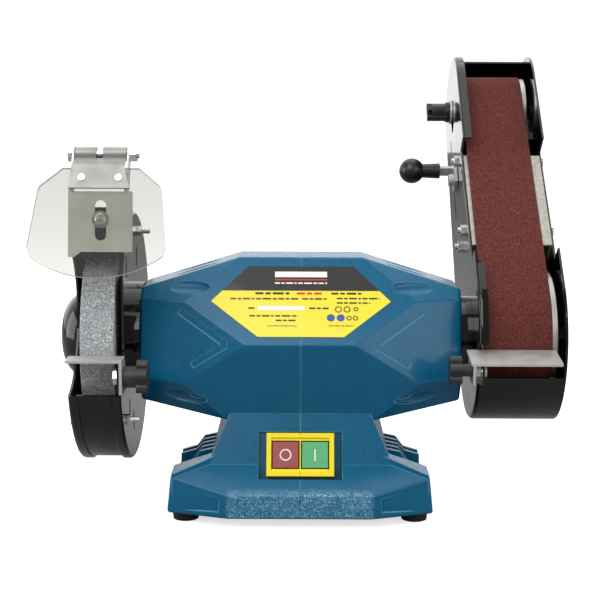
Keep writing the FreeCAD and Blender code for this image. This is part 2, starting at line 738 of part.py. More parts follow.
def guard_cover():
    """Pressed outer cover with a domed centre and a skirt that fits over the band."""
    r = GUARD_R + GUARD_LIP
    t = GUARD_SHEET
    z = AXIS_Z
    skirt = GUARD_OUT + SKIRT_W
    flat = GUARD_OUT
    cap = GUARD_OUT - DOME_H
    d = GUARD_DOME_R
    bend = 3.0
    k = math.sqrt(0.5)
    inside = t - 0.05
    outer = [line((skirt, 0, z + r - inside), (skirt, 0, z + r)),
             line((skirt, 0, z + r), (flat + bend, 0, z + r)),
             arc((flat + bend, 0, z + r), (flat + bend - bend * k, 0, z + r - bend + bend * k),
                 (flat, 0, z + r - bend)),
             line((flat, 0, z + r - bend), (flat, 0, z + d)),
             arc((flat, 0, z + d), (flat - 11.0, 0, z + d - 7.5), (cap, 0, z + d - 21)),
             line((cap, 0, z + d - 21), (cap, 0, z)),
             line((cap, 0, z), (cap + t, 0, z)),
             line((cap + t, 0, z), (cap + t, 0, z + d - 21)),
             arc((cap + t, 0, z + d - 21), (flat - 9.8, 0, z + d - 8.7), (flat + t, 0, z + d - 1.5)),
             line((flat + t, 0, z + d - 1.5), (flat + t, 0, z + r - inside)),
             line((flat + t, 0, z + r - inside), (skirt, 0, z + r - inside))]
    shell = revolve_x(Part.Face(Part.Wire(outer)))
    up, down = math.radians(OPENING_UP), math.radians(OPENING_DOWN)
    a = (-180, -r * math.cos(up) * 1.001, z + r * math.sin(up))
    b = (-180, -41.0, z + 18.0)
    c = (-180, -r * math.cos(down) * 1.001, z - r * math.sin(down))
    edge = arc(a, b, c)
    rest = [line(c, (-180, -120, c[2])), line((-180, -120, c[2]), (-180, -120, a[2])),
            line((-180, -120, a[2]), a)]
    mouth = Part.Face(Part.Wire([edge, *rest])).extrude(Vector(60, 0, 0))
    holes = [rod_x(-190, -100, 2.0 + CLEAR, y, zz) for y, zz in COVER_SCREWS]
    return shell.cut([mouth, *holes])


def cover_screws():
    screws = []
    for y, z in COVER_SCREWS:
        head = rod_x(GUARD_OUT - 2.4, GUARD_OUT, 4.0, y, z)
        shank = rod_x(GUARD_OUT - 0.5, -115.5, 2.0, y, z)
        nut = hex_x(GUARD_IN, GUARD_IN + 3.2, 7, y, z)
        slot = box(GUARD_OUT - 3, GUARD_OUT - 1.4, y - 5, y + 5, z - 0.5, z + 0.5)
        screws.append(fuse([head, shank, nut]).cut(slot))
    return group(screws)


def guard_mount_screws():
    screws = []
    for y, z in GUARD_SCREWS:
        head = hex_x(GUARD_IN - GUARD_SHEET - 3, GUARD_IN - GUARD_SHEET, 7, y, z)
        screws.append(fuse([head, rod_x(GUARD_IN - GUARD_SHEET - 0.5, -113.5, GUARD_SCREW_R, y, z)]))
    return group(screws)


def grinding_wheel():
    wheel = tube_x(WHEEL_X0, WHEEL_X1, WHEEL_R, SPINDLE_R + 0.02)
    return round_edges(wheel, 0.8, lambda e: e.Length > 400)


def wheel_flanges():
    inner = tube_x(WHEEL_X1, -126.6, 25.0, SPINDLE_R + 0.02)
    outer = tube_x(WHEEL_X0 - 3.4, WHEEL_X0, 25.0, SPINDLE_R + 0.02)
    return group([inner, outer])


def wheel_nut():
    nut = hex_x(WHEEL_X0 - 12.4, WHEEL_X0 - 3.4, 19, 0, AXIS_Z)
    return nut.cut(rod_x(-200, -100, SPINDLE_R + 0.02))


def star_knob(x0, hub_len, hub_r, star_len, star_r, y, z, direction):
    """A hub with a five-lobed head; x0 is the face that clamps, direction is -1 or +1."""
    end = x0 + direction * (hub_len + star_len)
    hub = rod_x(*sorted((x0, end)), hub_r, y, z)
    head_span = sorted((x0 + direction * hub_len, end))
    lobes = [rod_x(*head_span, star_r * 0.62, y, z)]
    for k in range(5):
        a = math.radians(72 * k + 90)
        lobes.append(rod_x(*head_span, star_r * 0.32,
                           y + star_r * 0.68 * math.cos(a), z + star_r * 0.68 * math.sin(a)))
    knob = hub.fuse(lobes).removeSplitter()
    return knob


def left_tool_rest():
    y_front, y_back = -96.0, -79.0
    top = box(-162.0, -122.9, y_front, y_back, above(-3.0), above(-1.0))
    leg = box(-124.9, -122.9, y_front, y_back + 2.0, above(-25.0), above(-1.0))
    leg = leg.cut(box(-130, -120, y_back, y_back + 5, above(-4), above(5)))
    y, z = REST_BOLT
    r = 3.0 + CLEAR
    slot = [rod_x(-130, -120, r, y - 2, z), rod_x(-130, -120, r, y + 4, z), box(-130, -120, y - 2, y + 4, z - r, z + r)]
    rest = fuse([top, leg]).cut(slot)
    return rest


def left_rest_bolt():
    y, z = REST_BOLT
    head = hex_x(GUARD_IN - GUARD_SHEET - 3.3, GUARD_IN - GUARD_SHEET, 10, y, z)
    return fuse([head, rod_x(GUARD_IN - GUARD_SHEET - 0.5, -108.0, 3.0, y, z)])


def left_rest_knob():
    y, z = REST_BOLT
    knob = star_knob(-122.9, 9.5, 7.5, 7.5, 12.0, y, z, 1)
    return knob.cut(rod_x(-125, -107.5, 3.03, y, z))


# ---------------------------------------------------------------- spark bracket and eye shield
CHEEK_L = -163.8
CHEEK_R = -123.2
EAR_R = 5.6
SHEET = 1.3


def bent_sheet(path, thickness, x0, x1):
    """A sheet bent along a polyline in Y-Z, thickened to one side, from x0 to x1."""
    runs = [Vector(0, yb - ya, zb - za).normalize() for (ya, za), (yb, zb) in zip(path, path[1:])]
    normals = [Vector(0, -run.z, run.y) for run in runs]
    offset = []
    for k, (y, z) in enumerate(path):
        before = normals[max(k - 1, 0)]
        after = normals[min(k, len(normals) - 1)]
        bisector = (before + after).normalize()
        move = bisector * (thickness / bisector.dot(before))
        offset.append((y + move.y, z + move.z))
    return prism_x([*path, *reversed(offset)], x0, x1)


SCREW_AT = (-141.0, -58.8, above(92.5))


def spark_bracket():
    """Sheet bracket: slotted front plate and two cheeks whose ears carry the shield hinge."""
    foot, head = (-62.8, above(66.5)), (-55.8, above(112.0))
    front = prism_x([foot, head, (head[0] + SHEET, head[1]), (foot[0] + SHEET, foot[1])], CHEEK_L, -118.6)
    cheek = [foot, head, (HINGE_Y - EAR_R, HINGE_Z), (HINGE_Y + EAR_R, HINGE_Z),
             (HINGE_Y + 3, HINGE_Z - 8), (-44.0, above(100.0)), (-50.0, above(72.0))]
    cheeks = []
    for x0 in (CHEEK_L, CHEEK_R - SHEET):
        cheeks.append(prism_x(cheek, x0, x0 + SHEET).fuse([rod_x(x0, x0 + SHEET, EAR_R, HINGE_Y, HINGE_Z)]))
    body = fuse([front, *cheeks])
    x = SCREW_AT[0]
    slot = [box(x - 4, x + 4, -80, -50, above(82), above(102)),
            Part.makeCylinder(4, 30, Vector(x, -80, above(82)), Vector(0, 1, 0)),
            Part.makeCylinder(4, 30, Vector(x, -80, above(102)), Vector(0, 1, 0))]
    pin = rod_x(-180, -100, 3.0 + CLEAR, HINGE_Y, HINGE_Z)
    step = prism_y([(CHEEK_L + 5, above(60)), (CHEEK_L + 5, above(67)), (CHEEK_L + 9, above(70)),
                    (-110, above(70)), (-110, above(60))], -80, -58.5)
    return body.cut([*slot, pin, step])


def bracket_face(z, behind=0.0):
    """Y of the bracket's front face at a height above the spindle."""
    return -62.8 + (z - 66.5) * 7.0 / 45.5 + behind


def guard_lug():
    """Strap on the guard's rim that the spark bracket is screwed to."""
    low, high = 67.0, 101.0
    near, far = SHEET + 0.1, SHEET + 1.7
    outline = [(bracket_face(low, near), above(low)), (bracket_face(high, near), above(high)),
               (bracket_face(high, far), above(high)), (bracket_face(low, far), above(low))]
    return prism_x(outline, -154.5, -126.5).cut(rod_x(-200, -100, 84.0))


def shield_hinge_bolt():
    head = rod_x(CHEEK_L - 3.4, CHEEK_L, 5.5, HINGE_Y, HINGE_Z)
    shank = rod_x(CHEEK_L - 0.5, CHEEK_R + 6.5, 3.0, HINGE_Y, HINGE_Z)
    nut = hex_x(CHEEK_R, CHEEK_R + 5, 10, HINGE_Y, HINGE_Z)
    return fuse([head, shank, nut])


SHIELD_TOP = (-50.0, above(128.0))
SHIELD_DOWN = Vector(0, -40.0, -71.0).normalize()
SHIELD_OUT = Vector(0, -71.0, 40.0).normalize()
SHIELD_X = -141.3
SHIELD_T = 2.0
CARRIER_T = 1.5


def at_shield(x, down, out=0.0):
    start = Vector(SHIELD_X + x, *SHIELD_TOP)
    return start + SHIELD_DOWN * down + SHIELD_OUT * out


def shield_carrier():
    """Bright plate with two rolled knuckles; it widens downwards and holds the top of the eye shield."""
    knuckle_r, pin_r = 4.9, 3.1
    plate_r = CHEEK_R - SHEET - 0.6
    plate_l = CHEEK_L + SHEET + 0.6
    knuckles = [tube_x(plate_l, -147.0, knuckle_r, pin_r, HINGE_Y, HINGE_Z),
                tube_x(-142.0, plate_r, knuckle_r, pin_r, HINGE_Y, HINGE_Z)]
    bend = at_shield(0, -1.0, 0.05)
    path = [(HINGE_Y - 3.6, HINGE_Z - 3.2), (bend.y, bend.z)]
    upper = bent_sheet(path, -CARRIER_T, plate_l, plate_r)
    corners = [(plate_l, -2.4), (plate_r, -2.4), (-120.2, 16.0), (CHEEK_L + 0.6, 16.0)]
    lower = face_of([at_shield(x - SHIELD_X, down, 0.05) for x, down in corners])
    lower = lower.extrude(SHIELD_OUT * CARRIER_T)
    notch = box(-147, -142, HINGE_Y - 7, HINGE_Y + 9, HINGE_Z - 7, HINGE_Z + 9)
    body = fuse([upper, lower]).cut([notch, rod_x(-200, -100, 4.0, HINGE_Y, HINGE_Z)])
    return fuse([*knuckles, body]).cut(rivet_holes())


def rivet_points():
    return [at_shield(x, 8.0) for x in (-13.0, 13.0)]


def rivet_holes():
    return [Part.makeCylinder(1.5 + 0.05, 12, p - SHIELD_OUT * 6, SHIELD_OUT) for p in rivet_points()]


def shield_rivets():
    rivets = []
    for p in rivet_points():
        shank = Part.makeCylinder(1.5, 5.2, p - SHIELD_OUT * 3.0, SHIELD_OUT)
        front = Part.makeCylinder(2.6, 0.8, p + SHIELD_OUT * 1.55, SHIELD_OUT)
        back = Part.makeCylinder(2.6, 0.8, p - SHIELD_OUT * 2.8, SHIELD_OUT)
        rivets.append(fuse([shank, front, back]))
    return group(rivets)


def eye_shield():
    """Clear polycarbonate shield with clipped corners and a curved lower edge."""
    def side(sign):
        return [at_shield(sign * x, s) for x, s in ((27.0, 0.0), (42.5, 14.0), (43.5, 17.0), (48.0, 60.0),
                                               (46.0, 67.0))]
    right = side(1)
    left = side(-1)
    edges = [line(left[0], right[0])]
    edges += [line(a, b) for a, b in zip(right, right[1:])]
    edges.append(arc(right[-1], at_shield(0, 82.8), left[-1]))
    back = list(reversed(left))
    edges += [line(a, b) for a, b in zip(back, back[1:])]
    face = Part.Face(Part.Wire(edges))
    sheet = face.extrude(SHIELD_OUT * -SHIELD_T)
    return sheet.cut(rivet_holes())


def bracket_screw():
    x, y, z = SCREW_AT
    out = Vector(0, -45.5, 7.0).normalize()
    start = Vector(x, y, z)
    washer = Part.makeCylinder(6.0, 1.0, start + out * 0.02, out)
    head = Part.makeSphere(4.3, start + out * 0.7, out, 0, 90, 360)
    shank = Part.makeCylinder(2.5, 9.0, start - out * 7.5, out)
    nut = Part.makeCylinder(4.3, 3.5, start - out * (SHEET + 1.75 + 3.5), out)
    cross = [Part.makeBox(4.4, 0.9, 3, Vector(-2.2, -0.45, 0)), Part.makeBox(0.9, 4.4, 3, Vector(-0.45, -2.2, 0))]
    for bar in cross:
        bar.Placement = Placement(start + out * 3.9, Rotation(Vector(0, 0, 1), out))
    return fuse([washer, head, shank, nut]).cut(cross)


# ---------------------------------------------------------------- belt-sander arm
# Drawn upright with the spindle at y = 0, z = 0, then leaned back with lean().
def lean(shape):
    placed = shape.copy()
    placed.rotate(Vector(0, 0, 0), Vector(1, 0, 0), -ARM_LEAN)
    placed.translate(Vector(0, 0, AXIS_Z))
    return placed


def arm_rod(x0, x1, r, y, z):
    return rod_x(x0, x1, r, y, z)


def loop_face(r_low, r_top, centres, x):
    """The outline of a belt round two circles, as a face at x."""
    tilt = math.asin((r_low - r_top) / centres)
    s, c = math.sin(tilt), math.cos(tilt)
    front_low = (x, -r_low * c, r_low * s)
    front_top = (x, -r_top * c, centres + r_top * s)
    back_top = (x, r_top * c, centres + r_top * s)
    back_low = (x, r_low * c, r_low * s)
    edges = [line(front_low, front_top), arc(front_top, (x, 0, centres + r_top), back_top),
             line(back_top, back_low), arc(back_low, (x, 0, -r_low), front_low)]
    return Part.Face(Part.Wire(edges))


def loop_prism(r_low, r_top, centres, x0, x1):
    return loop_face(r_low, r_top, centres, x0).extrude(Vector(x1 - x0, 0, 0))


def sanding_belt():
    inner = BELT_GAP
    outer = BELT_GAP + BELT_T
    belt = loop_prism(DRUM_R + outer, IDLER_R + outer, CENTRES, BELT_X0, BELT_X1)
    hollow = loop_prism(DRUM_R + inner, IDLER_R + inner, CENTRES, BELT_X0 - 1, BELT_X1 + 1)
    return lean(belt.cut(hollow))


def drive_drum():
    rim = tube_x(DRUM_X0, DRUM_X1, DRUM_R, DRUM_R - 5)
    web = tube_x(150, 158, DRUM_R - 4, SPINDLE_R + 0.02)
    hub = tube_x(132, 176, 14, SPINDLE_R + 0.02)
    return fuse([rim, web, hub])


def drum_nut():
    return hex_x(176, 184, 19, 0, AXIS_Z).cut(rod_x(100, 200, SPINDLE_R + 0.02))


def idler_roller():
    rim = tube_x(DRUM_X0, DRUM_X1, IDLER_R, IDLER_R - 4, 0, CENTRES)
    web = tube_x(DRUM_X0 + 6, DRUM_X1 - 6, IDLER_R - 3, 6.05, 0, CENTRES)
    return lean(fuse([rim, web]))


FRONT_TILT = math.asin((DRUM_R - IDLER_R) / CENTRES)
PLATEN_LOW, PLATEN_HIGH = 53.0, 145.0
UPPER_COVER_FROM = 150.0
COVER_EDGE_DOWN = -18.6 - ARM_LEAN      # edge of the lower cover, in arm angles
FLANGE_UP = 64.0 - ARM_LEAN
BOLT_HIGH, BOLT_LOW = 149.0, 76.0


def run_y(z, behind):
    """Y of the front belt run at height z, moved back by behind."""
    r = DRUM_R + BELT_GAP + BELT_T
    return (-r + z * math.sin(FRONT_TILT)) / math.cos(FRONT_TILT) + behind


def arm_outline(x0, x1, grow=0.0):
    """Side plate outline: round the drum and idler, flush with the belt run in between."""
    whole = loop_prism(LOW_R + grow, TOP_R + grow, CENTRES, x0, x1)
    gap_low, gap_high = 40.0, UPPER_COVER_FROM
    notch = prism_x([(run_y(gap_low, 3), gap_low), (run_y(gap_high, 3), gap_high), (-120, gap_high), (-120, gap_low)],
                    x0 - 1, x1 + 1)
    return whole.cut(notch)


def plate_holes():
    holes = [arm_rod(100, 200, 2.5 + CLEAR, y, z) for y, z in arm_bolt_points()]
    return holes


def arm_bolt_points():
    return [(run_y(BOLT_HIGH, 14), BOLT_HIGH), (run_y(BOLT_LOW, 14), BOLT_LOW),
            (run_y(BOLT_LOW, 14) + 22, BOLT_LOW)]


LEVER_AT = (-2.0, 146.0)                # pivot of the tension lever
AXLE_SLOT = 14.0
BEND_R = 3.0
STEM_X = 156.0                          # guide stem of the idler fork
STEM_R = 4.0
STEM_LOW = 104.0
SEAT_Z = 124.0
COLLAR_Z = 158.0


def axle_slot(x0, x1, half_width):
    return fuse([box(x0, x1, -half_width, half_width, CENTRES - AXLE_SLOT, CENTRES + 4),
                 arm_rod(x0, x1, half_width, 0, CENTRES - AXLE_SLOT),
                 arm_rod(x0, x1, half_width, 0, CENTRES + 4)])


def arm_left_plate():
    """Plate with a flange bent round both of its rounded ends."""
    x1 = ARM_X0 + ARM_SHEET
    pan = arm_outline(ARM_X0, FLANGE_X)
    pan = round_edges(pan, BEND_R, lambda edge: edge.BoundBox.XMax < ARM_X0 + 0.01)
    pan = pan.cut(arm_outline(x1, FLANGE_X + 10, -ARM_SHEET))
    low_band = sector(FLANGE_UP, -180.0, 100.0)
    upper = box(100, 200, -80, 80, UPPER_COVER_FROM, 300)
    slab = box(100, x1, -150, 150, -150, 350)
    body = pan.common(fuse([slab, low_band, upper]))
    holes = plate_holes() + [arm_rod(100, 130, 20.3, 0, 0), axle_slot(100, 130, 6.4)]
    holes.append(arm_rod(100, 130, 3.0 + CLEAR, *LEVER_AT))
    for y, z, length in ((18.0, 122.0, 30.0), (18.0, 190.0, 12.0)):
        holes.append(box(100, 130, y - 1.5, y + 1.5, z, z + length))
    y, z = RIGHT_BOLT
    tab = prism_x([(-40, z + 14), (y - 8, z + 7), (y - 8, z - 9), (-40, z - 16)], ARM_X0, x1)
    plate = lean(body.cut(holes)).fuse([tab]).cut([rod_x(100, 130, 3.0 + CLEAR, y, z), *rest_sweep()])
    return max(plate.Solids, key=lambda solid: solid.Volume)


def sector(a0, a1, r):
    """Part of the space round the drum between two angles above the arm's front normal."""
    steps = 12
    points = [(0.0, 0.0)]
    for k in range(steps + 1):
        a = math.radians(a0 + (a1 - a0) * k / steps)
        points.append((-r * math.cos(a), r * math.sin(a)))
    return prism_x(points, 90, 200)


def arm_right_plate():
    x0 = ARM_X1 - ARM_SHEET
    plate = arm_outline(x0, ARM_X1)
    holes = plate_holes() + [axle_slot(180, 200, 6.4), box(180, 200, -34, -31, 52, 62)]
    return lean(plate.cut(holes))


def lower_cover():
    """Sheet band under the drum, open towards the front above its edge."""
    x0, x1 = FLANGE_X + 0.05, ARM_X1 - ARM_SHEET
    band = loop_prism(LOW_R, TOP_R, CENTRES, x0, x1).cut(
        loop_prism(LOW_R - ARM_SHEET, TOP_R - ARM_SHEET, CENTRES, x0 - 1, x1 + 1))
    keep = sector(COVER_EDGE_DOWN, -200.0, 140.0)
    back = box(100, 200, 0, 120, -10, UPPER_COVER_FROM)
    return lean(band.common(fuse([keep, back])))


def upper_cover():
    """Hood over the idler."""
    x0, x1 = FLANGE_X + 0.05, ARM_X1 - ARM_SHEET
    band = loop_prism(LOW_R, TOP_R, CENTRES, x0, x1).cut(
        loop_prism(LOW_R - ARM_SHEET, TOP_R - ARM_SHEET, CENTRES, x0 - 1, x1 + 1))
    keep = box(100, 200, -14, 120, UPPER_COVER_FROM + 0.2, 300)
    return lean(band.common(keep))


def platen():
    """Flat steel backing behind the front run, bent back at both ends into side tabs."""
    t = 2.0
    x0, x1 = ARM_X0 + ARM_SHEET + 0.1, ARM_X1 - ARM_SHEET - 0.1
    behind = BELT_T + 0.6
    low = (run_y(PLATEN_LOW, behind), PLATEN_LOW)
    high = (run_y(PLATEN_HIGH, behind), PLATEN_HIGH)
    face = prism_x([low, high, (high[0] + t, high[1]), (low[0] + t, low[1])], x0, x1)
    tabs = []
    for a, b in ((x0, x0 + t), (x1 - t, x1)):
        tabs.append(prism_x([low, high, (run_y(BOLT_HIGH, 20), BOLT_HIGH + 5), (run_y(BOLT_LOW, 20), PLATEN_LOW)], a, b))
    holes = plate_holes()
    return lean(fuse([face, *tabs]).cut(holes))


def arm_bolts():
    bolts = []
    for y, z in arm_bolt_points():
        head = arm_rod(ARM_X1, ARM_X1 + 3.2, 4.5, y, z)
        shank = arm_rod(ARM_X0 - 6.5, ARM_X1 + 0.5, 2.5, y, z)
        nut = hex_x(ARM_X0 - 4.5, ARM_X0, 8, y, z)
        bolts.append(fuse([head, shank, nut]))
    return lean(group(bolts))


RIGHT_BOLT = (-75.0, above(-10.8))
AXLE_END_R = 4.0


def idler_axle():
    """Axle, its fork and the threaded end that takes the tracking knob."""
    axle = arm_rod(ARM_X0 - 0.2, ARM_X1 + 1.5, 6.0, 0, CENTRES)
    end = arm_rod(ARM_X0 - 9, ARM_X0, AXLE_END_R, 0, CENTRES)
    return lean(fuse([axle, end]))


def idler_fork():
    """Fork that carries the axle in the slots of both plates, with its guide stem."""
    spans = ((ARM_X0 + ARM_SHEET + 0.2, DRUM_X0 - 0.4), (DRUM_X1 + 0.4, ARM_X1 - ARM_SHEET - 0.2))
    legs = [box(x0, x1, -9, 9, CENTRES - 36, CENTRES + 9) for x0, x1 in spans]
    bridge = box(spans[0][0], spans[1][1], -9, 9, CENTRES - 36, CENTRES - 31)
    stem = rod_z(STEM_LOW, CENTRES - 35, STEM_R, STEM_X, 0)
    collar = rod_z(COLLAR_Z, COLLAR_Z + 3, 8.0, STEM_X, 0)
    return lean(fuse([*legs, bridge, stem, collar]).cut(arm_rod(100, 200, 6.02, 0, CENTRES)))


def tracking_knob():
    """Wing knob with a round flange on the axle end."""
    flange = arm_rod(ARM_X0 - 5.5, ARM_X0 - 2.0, 8.4, 0, CENTRES)
    hub = arm_rod(ARM_X0 - 17, ARM_X0 - 2.0, 6.8, 0, CENTRES)
    wing = box(ARM_X0 - 21, ARM_X0 - 5, -2.6, 2.6, CENTRES - 7.4, CENTRES + 7.4)
    brace = box(ARM_X0 - 20, ARM_X0 - 5, -6.2, 6.2, CENTRES - 2.6, CENTRES + 2.6)
    knob = fuse([flange, hub, wing, brace])
    return lean(knob.cut(arm_rod(ARM_X0 - 9.5, 140, AXLE_END_R + 0.03, 0, CENTRES)))


def tracking_washer():
    return lean(tube_x(ARM_X0 - 2.0, ARM_X0 - 0.3, 9.8, AXLE_END_R + 0.02, 0, CENTRES))


def tension_spring():
    """Compression spring between the seat and the stem's collar, as one closed sleeve."""
    sleeve = rod_z(SEAT_Z, COLLAR_Z, 7.5, STEM_X, 0)
    return lean(sleeve.cut(rod_z(0, CENTRES, STEM_R + 0.3, STEM_X, 0)))


def spring_seat():
    seat = box(ARM_X0 + ARM_SHEET + 0.1, ARM_X1 - ARM_SHEET - 0.1, -9, 9, SEAT_Z - 4, SEAT_Z)
    return lean(seat.cut(rod_z(0, CENTRES, STEM_R + CLEAR, STEM_X, 0)))


def tension_lever():
    """Flat lever on its pivot, and its ball grip with a short neck."""
    y, z = LEVER_AT
    tab = box(ARM_X0 - 3.0, ARM_X0 - 0.4, y - 8, y + 8, z - 7, z + 12)
    arm = box(ARM_X0 - 15, ARM_X0 - 0.4, y - 5, y + 5, z + 8, z + 10.5)
    neck = Part.makeCone(5.4, 6.2, 19, Vector(ARM_X0 - 33, y, z + 9.2), Vector(1, 0, 0))
    ball = Part.makeSphere(10.2, Vector(ARM_X0 - 36.5, y, z + 9.2))
    body = tab.fuse([arm])
    return lean(body.cut(arm_rod(100, 140, 3.03, y, z))), lean(fuse([neck, ball]).cut(arm))


def lever_pivot():
    y, z = LEVER_AT
    pin = arm_rod(ARM_X0 - 7, ARM_X0 + ARM_SHEET + 4, 3.0, y, z)
    head = arm_rod(ARM_X0 - 7, ARM_X0 - 3.2, 5.0, y, z)
    nut = hex_x(ARM_X0 + ARM_SHEET, ARM_X0 + ARM_SHEET + 3.5, 10, y, z)
    return lean(fuse([pin, head, nut]))


# ---------------------------------------------------------------- right tool rest
REST_BACK = (-53.0, above(-0.4))
REST_FRONT = (-82.0, above(-4.7))
REST_T = 2.0
REST_TILTS = (-4.5, -1.5, 1.5, 4.5, 7.5, 10.5, 13.5, 16.5, 20.5)


def rest_profile(grow):
    """Side outline of the rest's top, made larger all round by grow."""
    yb, zb = REST_BACK
    yf, zf = REST_FRONT
    return [(yb + grow, zb + grow), (yf - grow, zf + grow),
            (yf - grow, zf - REST_T - grow), (yb + grow, zb - REST_T - grow)]


def rest_sweep():
    """Room in the arm's left plate for the rest to tilt about its bolt."""
    y, z = RIGHT_BOLT
    swept = []
    for tilt in REST_TILTS:
        place = prism_x(rest_profile(0.5), ARM_X0 - 1, FLANGE_X + 1)
        place.rotate(Vector(0, y, z), Vector(1, 0, 0), tilt)
        swept.append(place)
    return swept


def right_tool_rest():
    y, z = RIGHT_BOLT
    yb, zb = REST_BACK
    yf, zf = REST_FRONT
    top = prism_x(rest_profile(0.0), 119.0, 183.0)
    leg = prism_x([(yb, zb - 0.5), (yf, zf - 0.5), (yf + 1, above(-20.6)), (yb - 2, above(-19))], 120.4, 122.4)
    return fuse([top, leg]).cut(rod_x(100, 130, 3.0 + CLEAR, y, z))


def right_rest_bolt():
    y, z = RIGHT_BOLT
    head = hex_x(ARM_X0 + ARM_SHEET, ARM_X0 + ARM_SHEET + 2.0, 8, y, z)
    nut = hex_x(122.45, ARM_X0, 8, y, z)
    return fuse([head, nut, rod_x(109.5, ARM_X0 + ARM_SHEET + 0.5, 3.0, y, z)])


def right_rest_knob():
    y, z = RIGHT_BOLT
    knob = star_knob(120.4, 7.5, 4.5, 8.5, 10.2, y, z, -1)
    return knob.cut(rod_x(109, 125, 3.03, y, z))


def arm_spigot():
    """Black collar on the housing end; the arm turns on its spigot."""
    collar = tube_x(HOUSING_HALF, ARM_X0 - 0.1, 30.0, 10.0)
    spigot = tube_x(ARM_X0 - 0.5, ARM_X0 + ARM_SHEET + 0.2, 20.0, 10.0)
    return fuse([collar, spigot])


def arm_retainer():
    x0 = ARM_X0 + ARM_SHEET + 0.2
    return tube_x(x0, x0 + 2.0, 25.0, 10.0)


def cable_gland():
    ring = Part.makeCylinder(8.0, 10, Vector(40, 76, 24), Vector(0, 1, 0))
    nut = Part.makeCylinder(11.0, 6, Vector(40, 86.2, 24), Vector(0, 1, 0))
    bore = Part.makeCylinder(3.6, 40, Vector(40, 60, 24), Vector(0, 1, 0))
    return fuse([ring, nut, Part.makeCylinder(8.0, 12, Vector(40, 82, 24), Vector(0, 1, 0))]).cut(bore)


# ---------------------------------------------------------------- write every node
def all_nodes():
    whole = casting().cut(seam_groove())
    lever, ball = tension_lever()
    nodes = {
        "housing_left": half_shell(whole, -1),
        "housing_right": half_shell(whole, 1),
        "bottom_plate": bottom_plate(),
        "foot_front_left": foot(-FOOT_X, -FOOT_Y),
        "foot_front_right": foot(FOOT_X, -FOOT_Y),
        "foot_back_left": foot(-FOOT_X, FOOT_Y),
        "foot_back_right": foot(FOOT_X, FOOT_Y),
        "casting_screws": group([shell_bolts(), plate_screws()]),
        "motor_shaft": motor_shaft(),
        "stator_core": stator_core(),
        "stator_windings": stator_windings(),
        "rotor_core": rotor_core(),
        "rotor_end_rings": rotor_end_rings(),
        "bearing_outer_rings": group([bearing_outer_rings(), bearing_balls()]),
        "bearing_inner_rings": bearing_inner_rings(),
        "run_capacitor": group([run_capacitor(), capacitor_clip()]),
        "terminal_block": terminal_block(),
        "switch_plate": switch_plate(),
        "switch_bezel": switch_bezel(),
        "switch_body": switch_body(),
        "stop_button": stop_button(),
        "start_button": start_button(),
        "rating_label": rating_label(),
        "wheel_spacer": wheel_spacer(),
        "wheel_guard": wheel_guard(),
        "guard_cover": guard_cover(),
        "guard_screws": group([cover_screws(), guard_mount_screws()]),
        "grinding_wheel": grinding_wheel(),
        "wheel_flanges": wheel_flanges(),
        "spindle_nuts": group([wheel_nut(), drum_nut()]),
        "left_tool_rest": left_tool_rest(),
        "left_rest_bolt": left_rest_bolt(),
        "left_rest_knob": left_rest_knob(),
        "spark_bracket": spark_bracket(),
        "bracket_screw": bracket_screw(),
        "shield_hinge_bolt": shield_hinge_bolt(),
        "shield_carrier": shield_carrier(),
        "eye_shield": eye_shield(),
        "shield_rivets": shield_rivets(),
        "arm_spigot": group([arm_spigot(), arm_retainer()]),
        "drive_drum": drive_drum(),
        "arm_left_plate": arm_left_plate(),
        "arm_right_plate": arm_right_plate(),
        "lower_cover": lower_cover(),
        "upper_cover": upper_cover(),
        "platen": platen(),
        "sanding_belt": sanding_belt(),
        "arm_bolts": arm_bolts(),
        "idler_roller": idler_roller(),
        "idler_fork": idler_fork(),
        "idler_axle": group([idler_axle(), tracking_washer()]),
        "tracking_knob": tracking_knob(),
        "tension_spring": tension_spring(),
        "spring_seat": spring_seat(),
        "tension_lever": group([lever, lever_pivot()]),
        "lever_ball": ball,
        "right_tool_rest": right_tool_rest(),
        "right_rest_bolt": right_rest_bolt(),
        "right_rest_knob": right_rest_knob(),
        "cable_gland": cable_gland(),
    }
    return nodes


os.makedirs("parts", exist_ok=True)
for node_name, node_shape in all_nodes().items():
    solids = node_shape.Solids
    if not node_shape.isValid() or not solids:
        print("problem with", node_name, node_shape.isValid(), len(solids))
    print(node_name, len(solids), round(node_shape.Volume))
    node_shape.exportStep(f"parts/{node_name}.step")
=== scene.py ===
import json
import math

import bpy
from mathutils import Matrix, Vector


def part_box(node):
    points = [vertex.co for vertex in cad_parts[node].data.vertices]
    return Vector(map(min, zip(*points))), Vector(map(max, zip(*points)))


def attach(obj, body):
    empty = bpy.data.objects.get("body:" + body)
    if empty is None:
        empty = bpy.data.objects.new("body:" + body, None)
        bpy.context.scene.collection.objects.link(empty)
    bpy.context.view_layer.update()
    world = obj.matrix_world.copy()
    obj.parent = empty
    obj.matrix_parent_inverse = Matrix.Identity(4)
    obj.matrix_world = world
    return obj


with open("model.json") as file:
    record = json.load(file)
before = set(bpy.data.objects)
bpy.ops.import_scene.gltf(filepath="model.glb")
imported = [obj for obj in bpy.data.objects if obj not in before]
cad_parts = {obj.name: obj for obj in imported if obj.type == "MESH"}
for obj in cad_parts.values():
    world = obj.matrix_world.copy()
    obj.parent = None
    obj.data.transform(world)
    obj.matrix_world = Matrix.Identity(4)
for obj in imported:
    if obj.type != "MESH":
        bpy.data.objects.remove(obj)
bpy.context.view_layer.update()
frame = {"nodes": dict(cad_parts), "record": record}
CAD = frame["nodes"]
MM = 0.001

# Stage: world strength in front of and behind the object, seen backdrop, and the floor's light.
AMBIENT_FRONT = 0.26
AMBIENT_BACK = 1.25
BACKDROP = 1.1
FLOOR_BOUNCE = 0.28
FLOOR_SEEN = 0.9
FLOOR_GLOW = 0.66
FLOOR_HALF = 6.0

